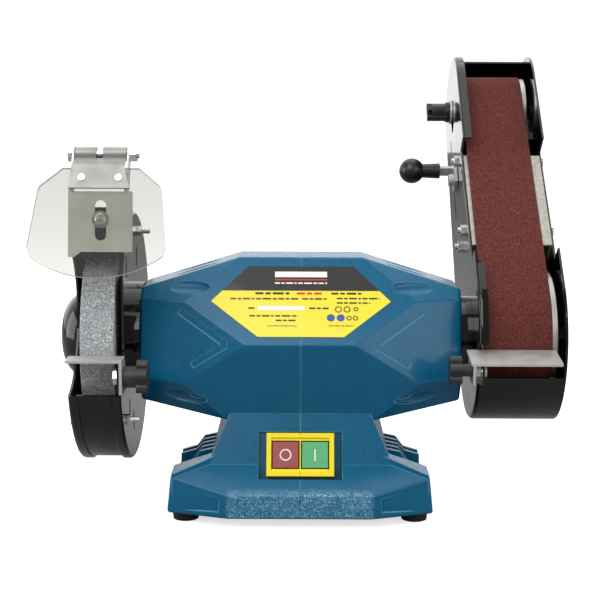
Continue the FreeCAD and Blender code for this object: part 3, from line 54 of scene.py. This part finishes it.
# The middle of the casting's low front, where the paint is grainy and carries a painted highlight: half
# width, top and depth (m).
GRAIN_HIGHLIGHT_HALF = 0.053
GRAIN_HIGHLIGHT_TOP = 0.029
GRAIN_HIGHLIGHT_FRONT = -0.070
GRAIN_HIGHLIGHT_FADE = 0.003


# ---------------------------------------------------------------- colours
def srgb(r, g, b):
    """Linear colour from 8-bit display values."""
    def channel(v):
        v /= 255.0
        return v / 12.92 if v <= 0.04045 else ((v + 0.055) / 1.055) ** 2.4
    return (channel(r), channel(g), channel(b), 1.0)


BLUE = srgb(0, 92, 128)
BLUE_DARK = srgb(0, 88, 123)
# Lighter blue of the painted highlight along edges and creases.
BLUE_EDGE_HIGHLIGHT = srgb(84, 152, 182)
LABEL_YELLOW = srgb(236, 220, 44)
LABEL_BLACK = srgb(20, 19, 19)
SWITCH_YELLOW = srgb(250, 226, 8)
BELT_RED = srgb(88, 38, 31)


# ---------------------------------------------------------------- materials
class Shader:
    """A material under construction: its nodes, links and principled shader."""

    def __init__(self, name, color, metallic=0.0, roughness=0.5):
        self.material = bpy.data.materials.new(name)
        self.material.use_nodes = True
        self.tree = self.material.node_tree
        self.bsdf = self.tree.nodes["Principled BSDF"]
        self.bsdf.inputs["Base Color"].default_value = color
        self.bsdf.inputs["Metallic"].default_value = metallic
        self.bsdf.inputs["Roughness"].default_value = roughness
        self.coordinates = self.tree.nodes.new("ShaderNodeTexCoord").outputs["Object"]

    def node(self, kind, **values):
        made = self.tree.nodes.new(kind)
        for key, value in values.items():
            if key in made.inputs:
                made.inputs[key].default_value = value
            else:
                setattr(made, key, value)
        return made

    def link(self, source, target):
        self.tree.links.new(source, target)

    def noise(self, scale, detail=2.0, rough=0.5, stretch=None):
        made = self.node("ShaderNodeTexNoise", Scale=scale, Detail=detail, Roughness=rough)
        if stretch:
            mapping = self.node("ShaderNodeMapping")
            mapping.inputs["Scale"].default_value = stretch
            self.link(self.coordinates, mapping.inputs["Vector"])
            self.link(mapping.outputs["Vector"], made.inputs["Vector"])
        else:
            self.link(self.coordinates, made.inputs["Vector"])
        return made.outputs["Fac"]

    def cells(self, scale):
        made = self.node("ShaderNodeTexVoronoi", Scale=scale)
        self.link(self.coordinates, made.inputs["Vector"])
        return made.outputs["Color"]

    def ramp(self, source, stops):
        made = self.node("ShaderNodeValToRGB")
        ramp = made.color_ramp
        while len(ramp.elements) < len(stops):
            ramp.elements.new(0.5)
        for element, (place, color) in zip(ramp.elements, stops):
            element.position = place
            element.color = color
        self.link(source, made.inputs["Fac"])
        return made.outputs["Color"]

    def mix(self, factor, a, b):
        made = self.node("ShaderNodeMix")
        made.data_type = "RGBA"
        for value, socket in ((a, 6), (b, 7)):
            if isinstance(value, tuple):
                made.inputs[socket].default_value = value
            else:
                self.link(value, made.inputs[socket])
        if isinstance(factor, float):
            made.inputs[0].default_value = factor
        else:
            self.link(factor, made.inputs[0])
        return made.outputs[2]

    def normal_dot(self, normal, other):
        """How far two normals agree: 1 where they are the same."""
        made = self.node("ShaderNodeVectorMath", operation="DOT_PRODUCT")
        self.link(normal, made.inputs[0])
        if isinstance(other, tuple):
            made.inputs[1].default_value = other
        else:
            self.link(other, made.inputs[1])
        return made.outputs["Value"]

    def remap(self, value, low, high, to_low=0.0, to_high=1.0):
        made = self.node("ShaderNodeMapRange")
        for name, number in (("From Min", low), ("From Max", high), ("To Min", to_low), ("To Max", to_high)):
            made.inputs[name].default_value = number
        self.link(value, made.inputs["Value"])
        return made.outputs["Result"]

    def times(self, a, b):
        made = self.node("ShaderNodeMath", operation="MULTIPLY")
        self.link(a, made.inputs[0])
        self.link(b, made.inputs[1])
        return made.outputs["Value"]

    def grain_and_highlight_front(self):
        """A mask over the middle of the casting's low front, where the paint lies over rough metal and a
        painted highlight with painted glints lightens it.
        """
        place = self.node("ShaderNodeSeparateXYZ")
        self.link(self.coordinates, place.inputs["Vector"])
        width = self.node("ShaderNodeMath", operation="ABSOLUTE")
        self.link(place.outputs["X"], width.inputs[0])
        side = self.remap(width.outputs["Value"], GRAIN_HIGHLIGHT_HALF, GRAIN_HIGHLIGHT_HALF - GRAIN_HIGHLIGHT_FADE)
        height = self.remap(place.outputs["Z"], GRAIN_HIGHLIGHT_TOP, GRAIN_HIGHLIGHT_TOP - GRAIN_HIGHLIGHT_FADE)
        depth = self.remap(place.outputs["Y"], GRAIN_HIGHLIGHT_FRONT, GRAIN_HIGHLIGHT_FRONT - GRAIN_HIGHLIGHT_FADE - 0.001)
        area = self.times(self.times(side, height), depth)
        return self.times(area, self.remap(self.noise(90.0, 3.0), 0.35, 0.6, 0.55, 0.95))

    def edges(self, radius, sharp=0.12):
        """A mask that is 1 on the creases and corners of the shape."""
        bevel = self.node("ShaderNodeBevel", Radius=radius, samples=8)
        surface = self.node("ShaderNodeNewGeometry").outputs["Normal"]
        return self.remap(self.normal_dot(bevel.outputs["Normal"], surface), 0.995, 1.0 - sharp)

    def soften(self, radius):
        """Rounds the edges in the shading only."""
        bevel = self.node("ShaderNodeBevel", Radius=radius, samples=6)
        self.link(bevel.outputs["Normal"], self.bsdf.inputs["Normal"])
        return self

    def set(self, **values):
        for key, value in values.items():
            self.bsdf.inputs[key.replace("_", " ")].default_value = value
        return self

    def color(self, source):
        self.link(source, self.bsdf.inputs["Base Color"])
        return self

    def roughness(self, source):
        self.link(source, self.bsdf.inputs["Roughness"])
        return self

    def bump(self, source, strength, distance, soften=0.0):
        made = self.node("ShaderNodeBump", Strength=strength, Distance=distance)
        self.link(source, made.inputs["Height"])
        if soften:
            edge = self.node("ShaderNodeBevel", Radius=soften, samples=6)
            self.link(edge.outputs["Normal"], made.inputs["Normal"])
        self.link(made.outputs["Normal"], self.bsdf.inputs["Normal"])
        return self


def grey(level):
    return (level, level, level, 1.0)


def blue_paint():
    """Glossy enamel on cast metal, with a painted highlight along its edges, grainy with a painted highlight
    on the low front.
    """
    s = Shader("blue_paint", BLUE, 0.0, 0.3)
    s.set(Coat_Weight=0.18, Coat_Roughness=0.1, Specular_IOR_Level=0.28)
    cloud = s.ramp(s.noise(38.0, 3.0), [(0.3, BLUE_DARK), (0.62, BLUE)])
    # Painted highlight: a lighter blue on creases and corners stands for light caught by the edges.
    edge_highlight = s.mix(s.edges(0.0012), cloud, BLUE_EDGE_HIGHLIGHT)
    # Painted highlight with grain: lighter blue and near-white speckles stand for the grain and also for
    # light and glints on the low front.
    grain_highlight = s.ramp(s.cells(1700.0), [(0.3, srgb(14, 96, 130)), (0.75, srgb(96, 150, 176)),
                                    (0.95, srgb(214, 230, 238))])
    s.color(s.mix(s.grain_and_highlight_front(), edge_highlight, grain_highlight))
    s.roughness(s.ramp(s.noise(240.0, 3.0), [(0.3, grey(0.22)), (0.7, grey(0.36))]))
    s.bump(s.noise(300.0, 2.0), 0.05, 0.0004, 0.0009)
    return s.material


def black_paint():
    """Gloss black powder coat on sheet steel."""
    s = Shader("black_paint", srgb(5, 5, 5), 0.0, 0.22)
    s.set(Coat_Weight=1.0, Coat_Roughness=0.04, Specular_IOR_Level=0.05)
    s.roughness(s.ramp(s.noise(90.0, 3.0), [(0.3, grey(0.16)), (0.75, grey(0.28))]))
    s.bump(s.noise(220.0, 2.0), 0.03, 0.0004, 0.0006)
    return s.material


def zinc(name, metallic, level):
    """Zinc-plated sheet, with level as its brightness."""
    s = Shader(name, grey(level), metallic, 0.4)
    s.color(s.ramp(s.noise(60.0, 4.0), [(0.3, (level * 0.9, level * 0.9, level * 0.85, 1.0)),
                                        (0.7, (level * 1.1, level * 1.09, level * 1.04, 1.0))]))
    s.roughness(s.ramp(s.noise(90.0, 3.0), [(0.3, grey(0.36)), (0.7, grey(0.5))]))
    return s.soften(0.0004).material


def bright_zinc():
    """Polished zinc of screws, nuts and bolts."""
    s = Shader("bright_zinc", grey(0.8), 1.0, 0.18)
    s.color(s.ramp(s.noise(400.0, 3.0), [(0.3, srgb(214, 214, 210)), (0.7, srgb(240, 240, 238))]))
    s.roughness(s.ramp(s.noise(300.0, 2.0), [(0.3, grey(0.12)), (0.7, grey(0.26))]))
    return s.soften(0.0003).material


def steel():
    s = Shader("steel", grey(0.5), 1.0, 0.28)
    s.roughness(s.ramp(s.noise(800.0, 2.0, stretch=(0.03, 1, 1)), [(0.3, grey(0.2)), (0.7, grey(0.4))]))
    s.bump(s.noise(700.0, 2.0, stretch=(0.03, 1, 1)), 0.08, 0.0002, 0.0003)
    return s.material


def galvanised():
    """Dull grey zinc sheet of the platen."""
    s = Shader("galvanised", srgb(176, 174, 164), 0.5, 0.5)
    s.color(s.ramp(s.noise(320.0, 4.0), [(0.35, srgb(164, 162, 151)), (0.65, srgb(186, 184, 173))]))
    s.roughness(s.ramp(s.noise(120.0, 3.0), [(0.3, grey(0.42)), (0.7, grey(0.56))]))
    return s.soften(0.0004).material


def laminations():
    s = Shader("laminations", grey(0.12), 0.8, 0.45)
    s.bump(s.noise(1800.0, 0.0, stretch=(1, 0.001, 0.001)), 0.4, 0.0004)
    return s.material


def winding():
    s = Shader("winding", srgb(158, 78, 30), 0.3, 0.3).set(Coat_Weight=0.5)
    s.color(s.ramp(s.noise(150.0, 3.0), [(0.3, srgb(120, 54, 20)), (0.7, srgb(184, 96, 40))]))
    s.bump(s.noise(900.0, 2.0, stretch=(1, 0.2, 0.2)), 0.3, 0.0006)
    return s.material


def cast_aluminium():
    """Turned aluminium of the drum and the idler."""
    s = Shader("cast_aluminium", srgb(196, 196, 192), 0.9, 0.36)
    s.roughness(s.ramp(s.noise(500.0, 2.0, stretch=(1, 0.02, 0.02)), [(0.3, grey(0.26)), (0.7, grey(0.46))]))
    s.bump(s.noise(900.0, 2.0, stretch=(1, 0.02, 0.02)), 0.1, 0.0003, 0.0005)
    return s.material


def rubber():
    s = Shader("rubber", srgb(22, 22, 22), 0.0, 0.6)
    s.roughness(s.ramp(s.noise(180.0, 3.0), [(0.3, grey(0.45)), (0.7, grey(0.7))]))
    s.bump(s.noise(700.0, 3.0), 0.15, 0.0004, 0.0005)
    return s.material


def black_plastic():
    """Dark grey moulded plastic of the knobs."""
    s = Shader("black_plastic", srgb(44, 43, 43), 0.0, 0.45)
    s.roughness(s.ramp(s.noise(150.0, 3.0), [(0.3, grey(0.36)), (0.7, grey(0.54))]))
    s.bump(s.noise(1100.0, 2.0), 0.12, 0.0003, 0.0007)
    return s.material


def gloss_black_plastic():
    s = Shader("gloss_black_plastic", srgb(20, 20, 21), 0.0, 0.3)
    s.roughness(s.ramp(s.noise(120.0, 3.0), [(0.3, grey(0.24)), (0.7, grey(0.4))]))
    s.bump(s.noise(900.0, 2.0), 0.08, 0.0003, 0.0007)
    return s.material


def plastic(name, color, rough, soften=0.0005):
    s = Shader(name, color, 0.0, rough).set(Coat_Weight=0.2)
    s.roughness(s.ramp(s.noise(140.0, 3.0), [(0.3, grey(rough * 0.8)), (0.7, grey(rough * 1.25))]))
    s.bump(s.noise(900.0, 2.0), 0.05, 0.0002, soften)
    return s.material


def wheel_grit():
    """Bonded grey grit with light and dark grains."""
    s = Shader("wheel_grit", srgb(150, 153, 156), 0.0, 0.85)
    tone = s.ramp(s.cells(1500.0), [(0.05, srgb(84, 88, 93)), (0.35, srgb(138, 142, 145)),
                                    (0.7, srgb(174, 177, 179)), (0.97, srgb(252, 252, 252))])
    s.color(s.mix(s.remap(s.noise(70.0, 2.0), 0.3, 0.7, 0.0, 0.3), tone, srgb(160, 163, 166)))
    s.bump(s.noise(1500.0, 3.0, 0.7), 0.6, 0.0004)
    return s.material


def belt_grit():
    """Reddish abrasive cloth with grain, and a few dim painted glints on its grains."""
    s = Shader("belt_grit", BELT_RED, 0.0, 0.85).set(Specular_IOR_Level=0.3)
    base = s.ramp(s.cells(1300.0), [(0.1, srgb(66, 27, 22)), (0.45, BELT_RED), (0.85, srgb(112, 54, 46))])
    # Painted glints: scattered light spots stand for light catching the grains.
    glint_spots = s.ramp(s.cells(2200.0), [(0.93, grey(0.0)), (0.995, grey(1.0))])
    s.color(s.mix(glint_spots, base, srgb(176, 122, 112)))
    s.bump(s.noise(1500.0, 3.0, 0.7), 0.5, 0.0004)
    return s.material


SHEET_FACING = (0.0, -0.8713, 0.4909)


def clear_sheet():
    """Clear polycarbonate: nearly neutral, glossy, and pale along its cut edges."""
    s = Shader("clear_sheet", grey(0.8), 0.0, 0.05)
    out = s.tree.nodes["Material Output"]
    see = s.node("ShaderNodeBsdfTransparent", Color=(0.79, 0.79, 0.765, 1.0))
    fresnel = s.node("ShaderNodeFresnel", IOR=1.5)
    face = s.node("ShaderNodeMixShader")
    s.link(s.remap(fresnel.outputs["Fac"], 0.0, 1.0, 0.0, 0.7), face.inputs["Fac"])
    s.link(see.outputs["BSDF"], face.inputs[1])
    s.link(s.bsdf.outputs["BSDF"], face.inputs[2])
    rim = s.node("ShaderNodeBsdfDiffuse", Color=srgb(226, 222, 236))
    normal = s.node("ShaderNodeTexCoord").outputs["Normal"]
    facing = s.node("ShaderNodeMath", operation="ABSOLUTE")
    s.link(s.normal_dot(normal, SHEET_FACING), facing.inputs[0])
    whole = s.node("ShaderNodeMixShader")
    s.link(s.remap(facing.outputs["Value"], 0.5, 0.3, 0.0, 0.85), whole.inputs["Fac"])
    s.link(face.outputs["Shader"], whole.inputs[1])
    s.link(rim.outputs["BSDF"], whole.inputs[2])
    s.link(whole.outputs["Shader"], out.inputs["Surface"])
    return s.material


MATERIALS = {
    "blue_paint": blue_paint(),
    "black_paint": black_paint(),
    "zinc": zinc("zinc", 0.7, 0.58),
    "zinc_pale": zinc("zinc_pale", 0.35, 0.88),
    "zinc_dark": zinc("zinc_dark", 0.6, 0.30),
    "bright_zinc": bright_zinc(),
    "steel": steel(),
    "galvanised": galvanised(),
    "lamination": laminations(),
    "winding": winding(),
    "cast_aluminium": cast_aluminium(),
    "rubber": rubber(),
    "black_plastic": black_plastic(),
    "capacitor_plastic": plastic("capacitor_plastic", srgb(222, 222, 214), 0.4),
    "switch_yellow": plastic("switch_yellow", SWITCH_YELLOW, 0.35, 0.0008),
    "switch_red": plastic("switch_red", srgb(162, 78, 76), 0.3),
    "switch_green": plastic("switch_green", srgb(94, 180, 124), 0.3),
    "switch_lining": plastic("switch_lining", srgb(6, 84, 118), 0.15),
    "label": plastic("label", LABEL_YELLOW, 0.38, 0.0001),
    "clear_sheet": clear_sheet(),
    "wheel_grit": wheel_grit(),
    "belt_grit": belt_grit(),
    "white_print": plastic("white_print", srgb(240, 238, 232), 0.4, 0.0001),
    "black_print": plastic("black_print", LABEL_BLACK, 0.38, 0.0001),
    "red_print": plastic("red_print", srgb(216, 44, 36), 0.38, 0.0001),
    "blue_print": plastic("blue_print", srgb(34, 84, 160), 0.38, 0.0001),
    "gloss_black_plastic": gloss_black_plastic(),
    "button_frame": plastic("button_frame", srgb(150, 140, 70), 0.25),
}


FASTENERS = ("guard_screws", "bracket_screw", "shield_hinge_bolt", "arm_bolts", "left_rest_bolt",
             "right_rest_bolt", "shield_rivets", "casting_screws")
HARD_PLASTIC = ("tracking_knob", "lever_ball")


def dress_cad_nodes():
    """Every CAD node gets the material of its slot, or its own where its finish differs."""
    slots = {row["node"]: row["material_slot"] for row in frame["record"]["subparts"]}
    own = {"spark_bracket": "zinc_pale", "shield_carrier": "zinc_dark"}
    own.update(dict.fromkeys(HARD_PLASTIC, "gloss_black_plastic"))
    own.update(dict.fromkeys(FASTENERS, "bright_zinc"))
    for name, obj in CAD.items():
        obj.data.materials.clear()
        obj.data.materials.append(MATERIALS[own.get(name, slots[name])])


# ---------------------------------------------------------------- mesh helpers
def mesh_object(name, verts, faces, material, body):
    mesh = bpy.data.meshes.new(name)
    mesh.from_pydata([tuple(v) for v in verts], [], faces)
    mesh.materials.append(MATERIALS[material])
    obj = bpy.data.objects.new(name, mesh)
    bpy.context.scene.collection.objects.link(obj)
    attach(obj, body)
    return obj


def slab(name, ring, lift, material, body):
    """A thin plate from a flat ring of points, as thick as the vector lift."""
    count = len(ring)
    verts = list(ring) + [p + lift for p in ring]
    faces = [list(range(count))[::-1], list(range(count, 2 * count))]
    faces += [[k, (k + 1) % count, (k + 1) % count + count, k + count] for k in range(count)]
    return mesh_object(name, verts, faces, material, body)


def ring_points(center, across, up, radius, count=40):
    return [center + across * (radius * math.cos(2 * math.pi * k / count))
            + up * (radius * math.sin(2 * math.pi * k / count)) for k in range(count)]


def band(name, center, across, up, r_in, r_out, lift, material, body, count=48):
    """A flat annulus with thickness."""
    rings = [ring_points(center + shift, across, up, r, count)
             for shift in (Vector(), lift) for r in (r_in, r_out)]
    verts = [p for ring in rings for p in ring]
    faces = []
    for k in range(count):
        n = (k + 1) % count
        low_in, low_out, top_in, top_out = (count * j for j in range(4))
        faces.append([low_in + k, low_in + n, low_out + n, low_out + k])
        faces.append([top_in + k, top_out + k, top_out + n, top_in + n])
        faces.append([low_out + k, low_out + n, top_out + n, top_out + k])
        faces.append([low_in + k, top_in + k, top_in + n, low_in + n])
    return mesh_object(name, verts, faces, material, body)


# ---------------------------------------------------------------- rating label
LABEL_DOWN = Vector((0, -42.4, -58.3)).normalized()
LABEL_OUT = Vector((0, -58.3, 42.4)).normalized()
LABEL_THICK = 0.5
PRINT_THICK = 0.06
HEAD_HALF = 38.5          # half width of the label's top edge
HEAD_DEEP = 20.2          # height of its black head panel
WIDEST_HALF = 65.0        # half width where the label is widest
WIDEST_DOWN = 28.8

# Plain bars and rings stand where a label has print.
# Bars and rows of bars: left, right, distance down, height (mm), ink.
LABEL_BLOCKS = [(-19, 19, 6.8, 4.6, "white_print"), (-19, 19, 11.2, 0.9, "red_print"),
                (-31, 3, 34.4, 3.4, "white_print")]
LABEL_ROWS = [(-19, 19, 14.0, 1.1, "white_print"), (-33, -7, 22.4, 1.7, "black_print"),
              (-3, 15, 22.4, 1.7, "red_print"), (22, 44, 22.4, 1.5, "black_print"),
              (-51, -2, 26.8, 1.2, "black_print"), (1, 19, 26.8, 1.2, "black_print"),
              (26, 57, 26.4, 1.2, "black_print"), (26, 50, 30.0, 1.2, "black_print"),
              (-38, -33, 34.4, 1.3, "black_print"), (6, 20, 34.4, 1.3, "black_print"),
              (-37, -2, 40.6, 1.2, "black_print"), (-18, -4, 44.2, 1.2, "black_print"),
              (-24, -3, 48.6, 0.6, "black_print"), (20, 38, 48.4, 0.6, "black_print")]
# Round marks: place across and down, radius (mm), ink, and whether they are filled.
LABEL_MARKS = [(27.0, 35.2, 2.5, "black_print", False), (33.2, 35.2, 2.5, "black_print", False),
               (39.6, 35.0, 1.7, "black_print", False), (21.5, 42.0, 2.9, "blue_print", True),
               (28.6, 42.0, 2.9, "blue_print", True), (34.6, 42.2, 1.9, "black_print", False),
               (39.2, 42.2, 1.9, "black_print", False)]
BAR_WIDTHS = (3.4, 2.2, 4.6, 1.6, 3.0, 5.2, 2.6)     # in a row, as multiples of its height
BAR_GAP = 0.9
RING_WIDTH = 0.75
DISC_HOLE = 0.05


def label_bars():
    """Every bar of the label, with the rows cut into bars of uneven width."""
    bars = list(LABEL_BLOCKS)
    for x0, x1, s, tall, ink in LABEL_ROWS:
        x = x0
        step = 0
        while x < x1:
            end = min(x + BAR_WIDTHS[step % len(BAR_WIDTHS)] * tall, x1)
            bars.append((x, end, s, tall, ink))
            x = end + BAR_GAP * tall
            step += 1
    return bars


def label_print():
    """Black head panel, plain bars in place of print, and blank round marks."""
    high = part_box("rating_label")[1]
    top = Vector((0, high[1], high[2])) + Vector((0, LABEL_OUT.y * LABEL_THICK * MM, 0))
    across = Vector((1, 0, 0))
    lift = LABEL_OUT * PRINT_THICK * MM

    def at(x, s):
        return top + across * (x * MM) + LABEL_DOWN * (s * MM)

    foot = HEAD_HALF + (WIDEST_HALF - HEAD_HALF) * HEAD_DEEP / WIDEST_DOWN
    head = [at(-foot, HEAD_DEEP), at(foot, HEAD_DEEP), at(HEAD_HALF, 0.02), at(-HEAD_HALF, 0.02)]
    slab("label_head", head, lift, "black_print", "base")
    for number, (x0, x1, s, tall, ink) in enumerate(label_bars()):
        under, over = s + tall / 2, s - tall / 2
        ring = [at(x0, under), at(x1, under), at(x1, over), at(x0, over)]
        slab(f"label_bar_{number}", [p + lift * 1.02 for p in ring], lift, ink, "base")
    for number, (x, s, radius, ink, filled) in enumerate(LABEL_MARKS):
        inner = DISC_HOLE if filled else radius - RING_WIDTH
        band(f"label_mark_{number}", at(x, s), across, LABEL_DOWN, inner * MM, radius * MM, lift,
             ink, "base")


# ---------------------------------------------------------------- switch marks
PANEL_ACROSS = Vector((1, 0, 0))
PANEL_UP = Vector((0, 10.0, 27.9)).normalized()
PANEL_OUT = Vector((0, -27.9, 10.0)).normalized()
BUTTON_DEEP = 13.6
MARK_SUNK = 0.15
MARK_THICK = 0.17
MARK_R = 4.25
MARK_LINE = 1.0
BAR_HALF = 0.55


def button_face(node):
    """Centre of a button's front face, sunk by the part of the mark that lies inside it."""
    low, high = (Vector(c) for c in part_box(node))
    return (low + high) / 2 + PANEL_OUT * ((BUTTON_DEEP / 2 - MARK_SUNK) * MM)


def button_marks():
    """A plain ring on the stop button and a plain bar on the start button."""
    lift = PANEL_OUT * MARK_THICK * MM
    band("stop_mark", button_face("stop_button"), PANEL_ACROSS, PANEL_UP,
         (MARK_R - MARK_LINE) * MM, MARK_R * MM, lift, "white_print", "stop")
    center = button_face("start_button")
    wide = PANEL_ACROSS * BAR_HALF * MM
    tall = PANEL_UP * MARK_R * MM
    corners = [center - wide - tall, center + wide - tall, center + wide + tall, center - wide + tall]
    slab("start_mark", corners, lift, "white_print", "start")


# ---------------------------------------------------------------- stage
def floor_paper():
    """White paper that throws little light back up at the object."""
    s = Shader("floor_paper", grey(1.0), 0.0, 1.0).set(Specular_IOR_Level=0.0)
    path = s.node("ShaderNodeLightPath")
    seen = path.outputs["Is Camera Ray"]
    s.color(s.mix(seen, grey(FLOOR_BOUNCE), grey(FLOOR_SEEN)))
    s.set(Emission_Color=grey(1.0))
    s.link(s.remap(seen, 0.0, 1.0, 0.0, FLOOR_GLOW), s.bsdf.inputs["Emission Strength"])
    return s.material


def floor():
    mesh = bpy.data.meshes.new("floor")
    corners = [(x * FLOOR_HALF, y * FLOOR_HALF, 0) for x, y in ((-1, -1), (1, -1), (1, 1), (-1, 1))]
    mesh.from_pydata(corners, [], [[0, 1, 2, 3]])
    mesh.materials.append(floor_paper())
    obj = bpy.data.objects.new("floor", mesh)
    bpy.context.scene.collection.objects.link(obj)


def area_light(name, place, aim, size, power):
    data = bpy.data.lights.new(name, "AREA")
    data.energy = power
    data.size = size
    obj = bpy.data.objects.new(name, data)
    obj.location = place
    obj.rotation_euler = (Vector(aim) - Vector(place)).to_track_quat("-Z", "Y").to_euler()
    bpy.context.scene.collection.objects.link(obj)


# Name, place, aim (m), size (m) and power (W) of each light.
LIGHTS = [("key", (-0.7, -1.3, 1.5), (0, 0, 0.12), 1.6, 26),
          ("fill", (1.1, -1.2, 0.8), (0, 0, 0.15), 1.2, 9),
          ("top", (0.0, 0.3, 1.8), (0, 0, 0.1), 1.6, 10),
          ("left_panel", (-1.4, -0.1, 0.4), (0, 0, 0.2), 1.0, 8),
          ("right_panel", (1.4, -0.1, 0.4), (0, 0, 0.2), 1.0, 3)]


def studio():
    """A white backdrop, dimmer surroundings for reflections, and large soft panels."""
    world = bpy.data.worlds.new("studio")
    world.use_nodes = True
    tree = world.node_tree
    back = tree.nodes["Background"]
    back.inputs["Color"].default_value = (1.0, 1.0, 1.0, 1.0)
    path = tree.nodes.new("ShaderNodeLightPath")
    direction = tree.nodes.new("ShaderNodeSeparateXYZ")
    tree.links.new(tree.nodes.new("ShaderNodeTexCoord").outputs["Generated"], direction.inputs["Vector"])
    around = tree.nodes.new("ShaderNodeMapRange")
    around.inputs["From Min"].default_value = -0.1
    around.inputs["From Max"].default_value = 0.7
    around.inputs["To Min"].default_value = AMBIENT_FRONT
    around.inputs["To Max"].default_value = AMBIENT_BACK
    tree.links.new(direction.outputs["Y"], around.inputs["Value"])
    level = tree.nodes.new("ShaderNodeMapRange")
    level.inputs["To Max"].default_value = BACKDROP
    tree.links.new(around.outputs["Result"], level.inputs["To Min"])
    tree.links.new(path.outputs["Is Camera Ray"], level.inputs["Value"])
    tree.links.new(level.outputs["Result"], back.inputs["Strength"])
    bpy.context.scene.world = world
    bpy.context.scene.view_settings.view_transform = "Standard"
    for light in LIGHTS:
        area_light(*light)


CAMERA_PLACE = (-0.0007, -0.9839, 0.3059)
CAMERA_PITCH = math.radians(8.9)
CAMERA_ROLL = math.radians(0.25)
CAMERA_LENS = 79.3


def camera():
    data = bpy.data.cameras.new("camera")
    data.lens = CAMERA_LENS
    data.sensor_width = 36.0
    data.clip_start = 0.01
    obj = bpy.data.objects.new("camera", data)
    level = Matrix.Rotation(math.pi / 2 - CAMERA_PITCH, 4, "X")
    roll = Matrix.Rotation(CAMERA_ROLL, 4, "Z")
    obj.matrix_world = Matrix.Translation(CAMERA_PLACE) @ level @ roll
    bpy.context.scene.collection.objects.link(obj)
    bpy.context.scene.camera = obj


dress_cad_nodes()
label_print()
button_marks()
floor()
studio()
camera()
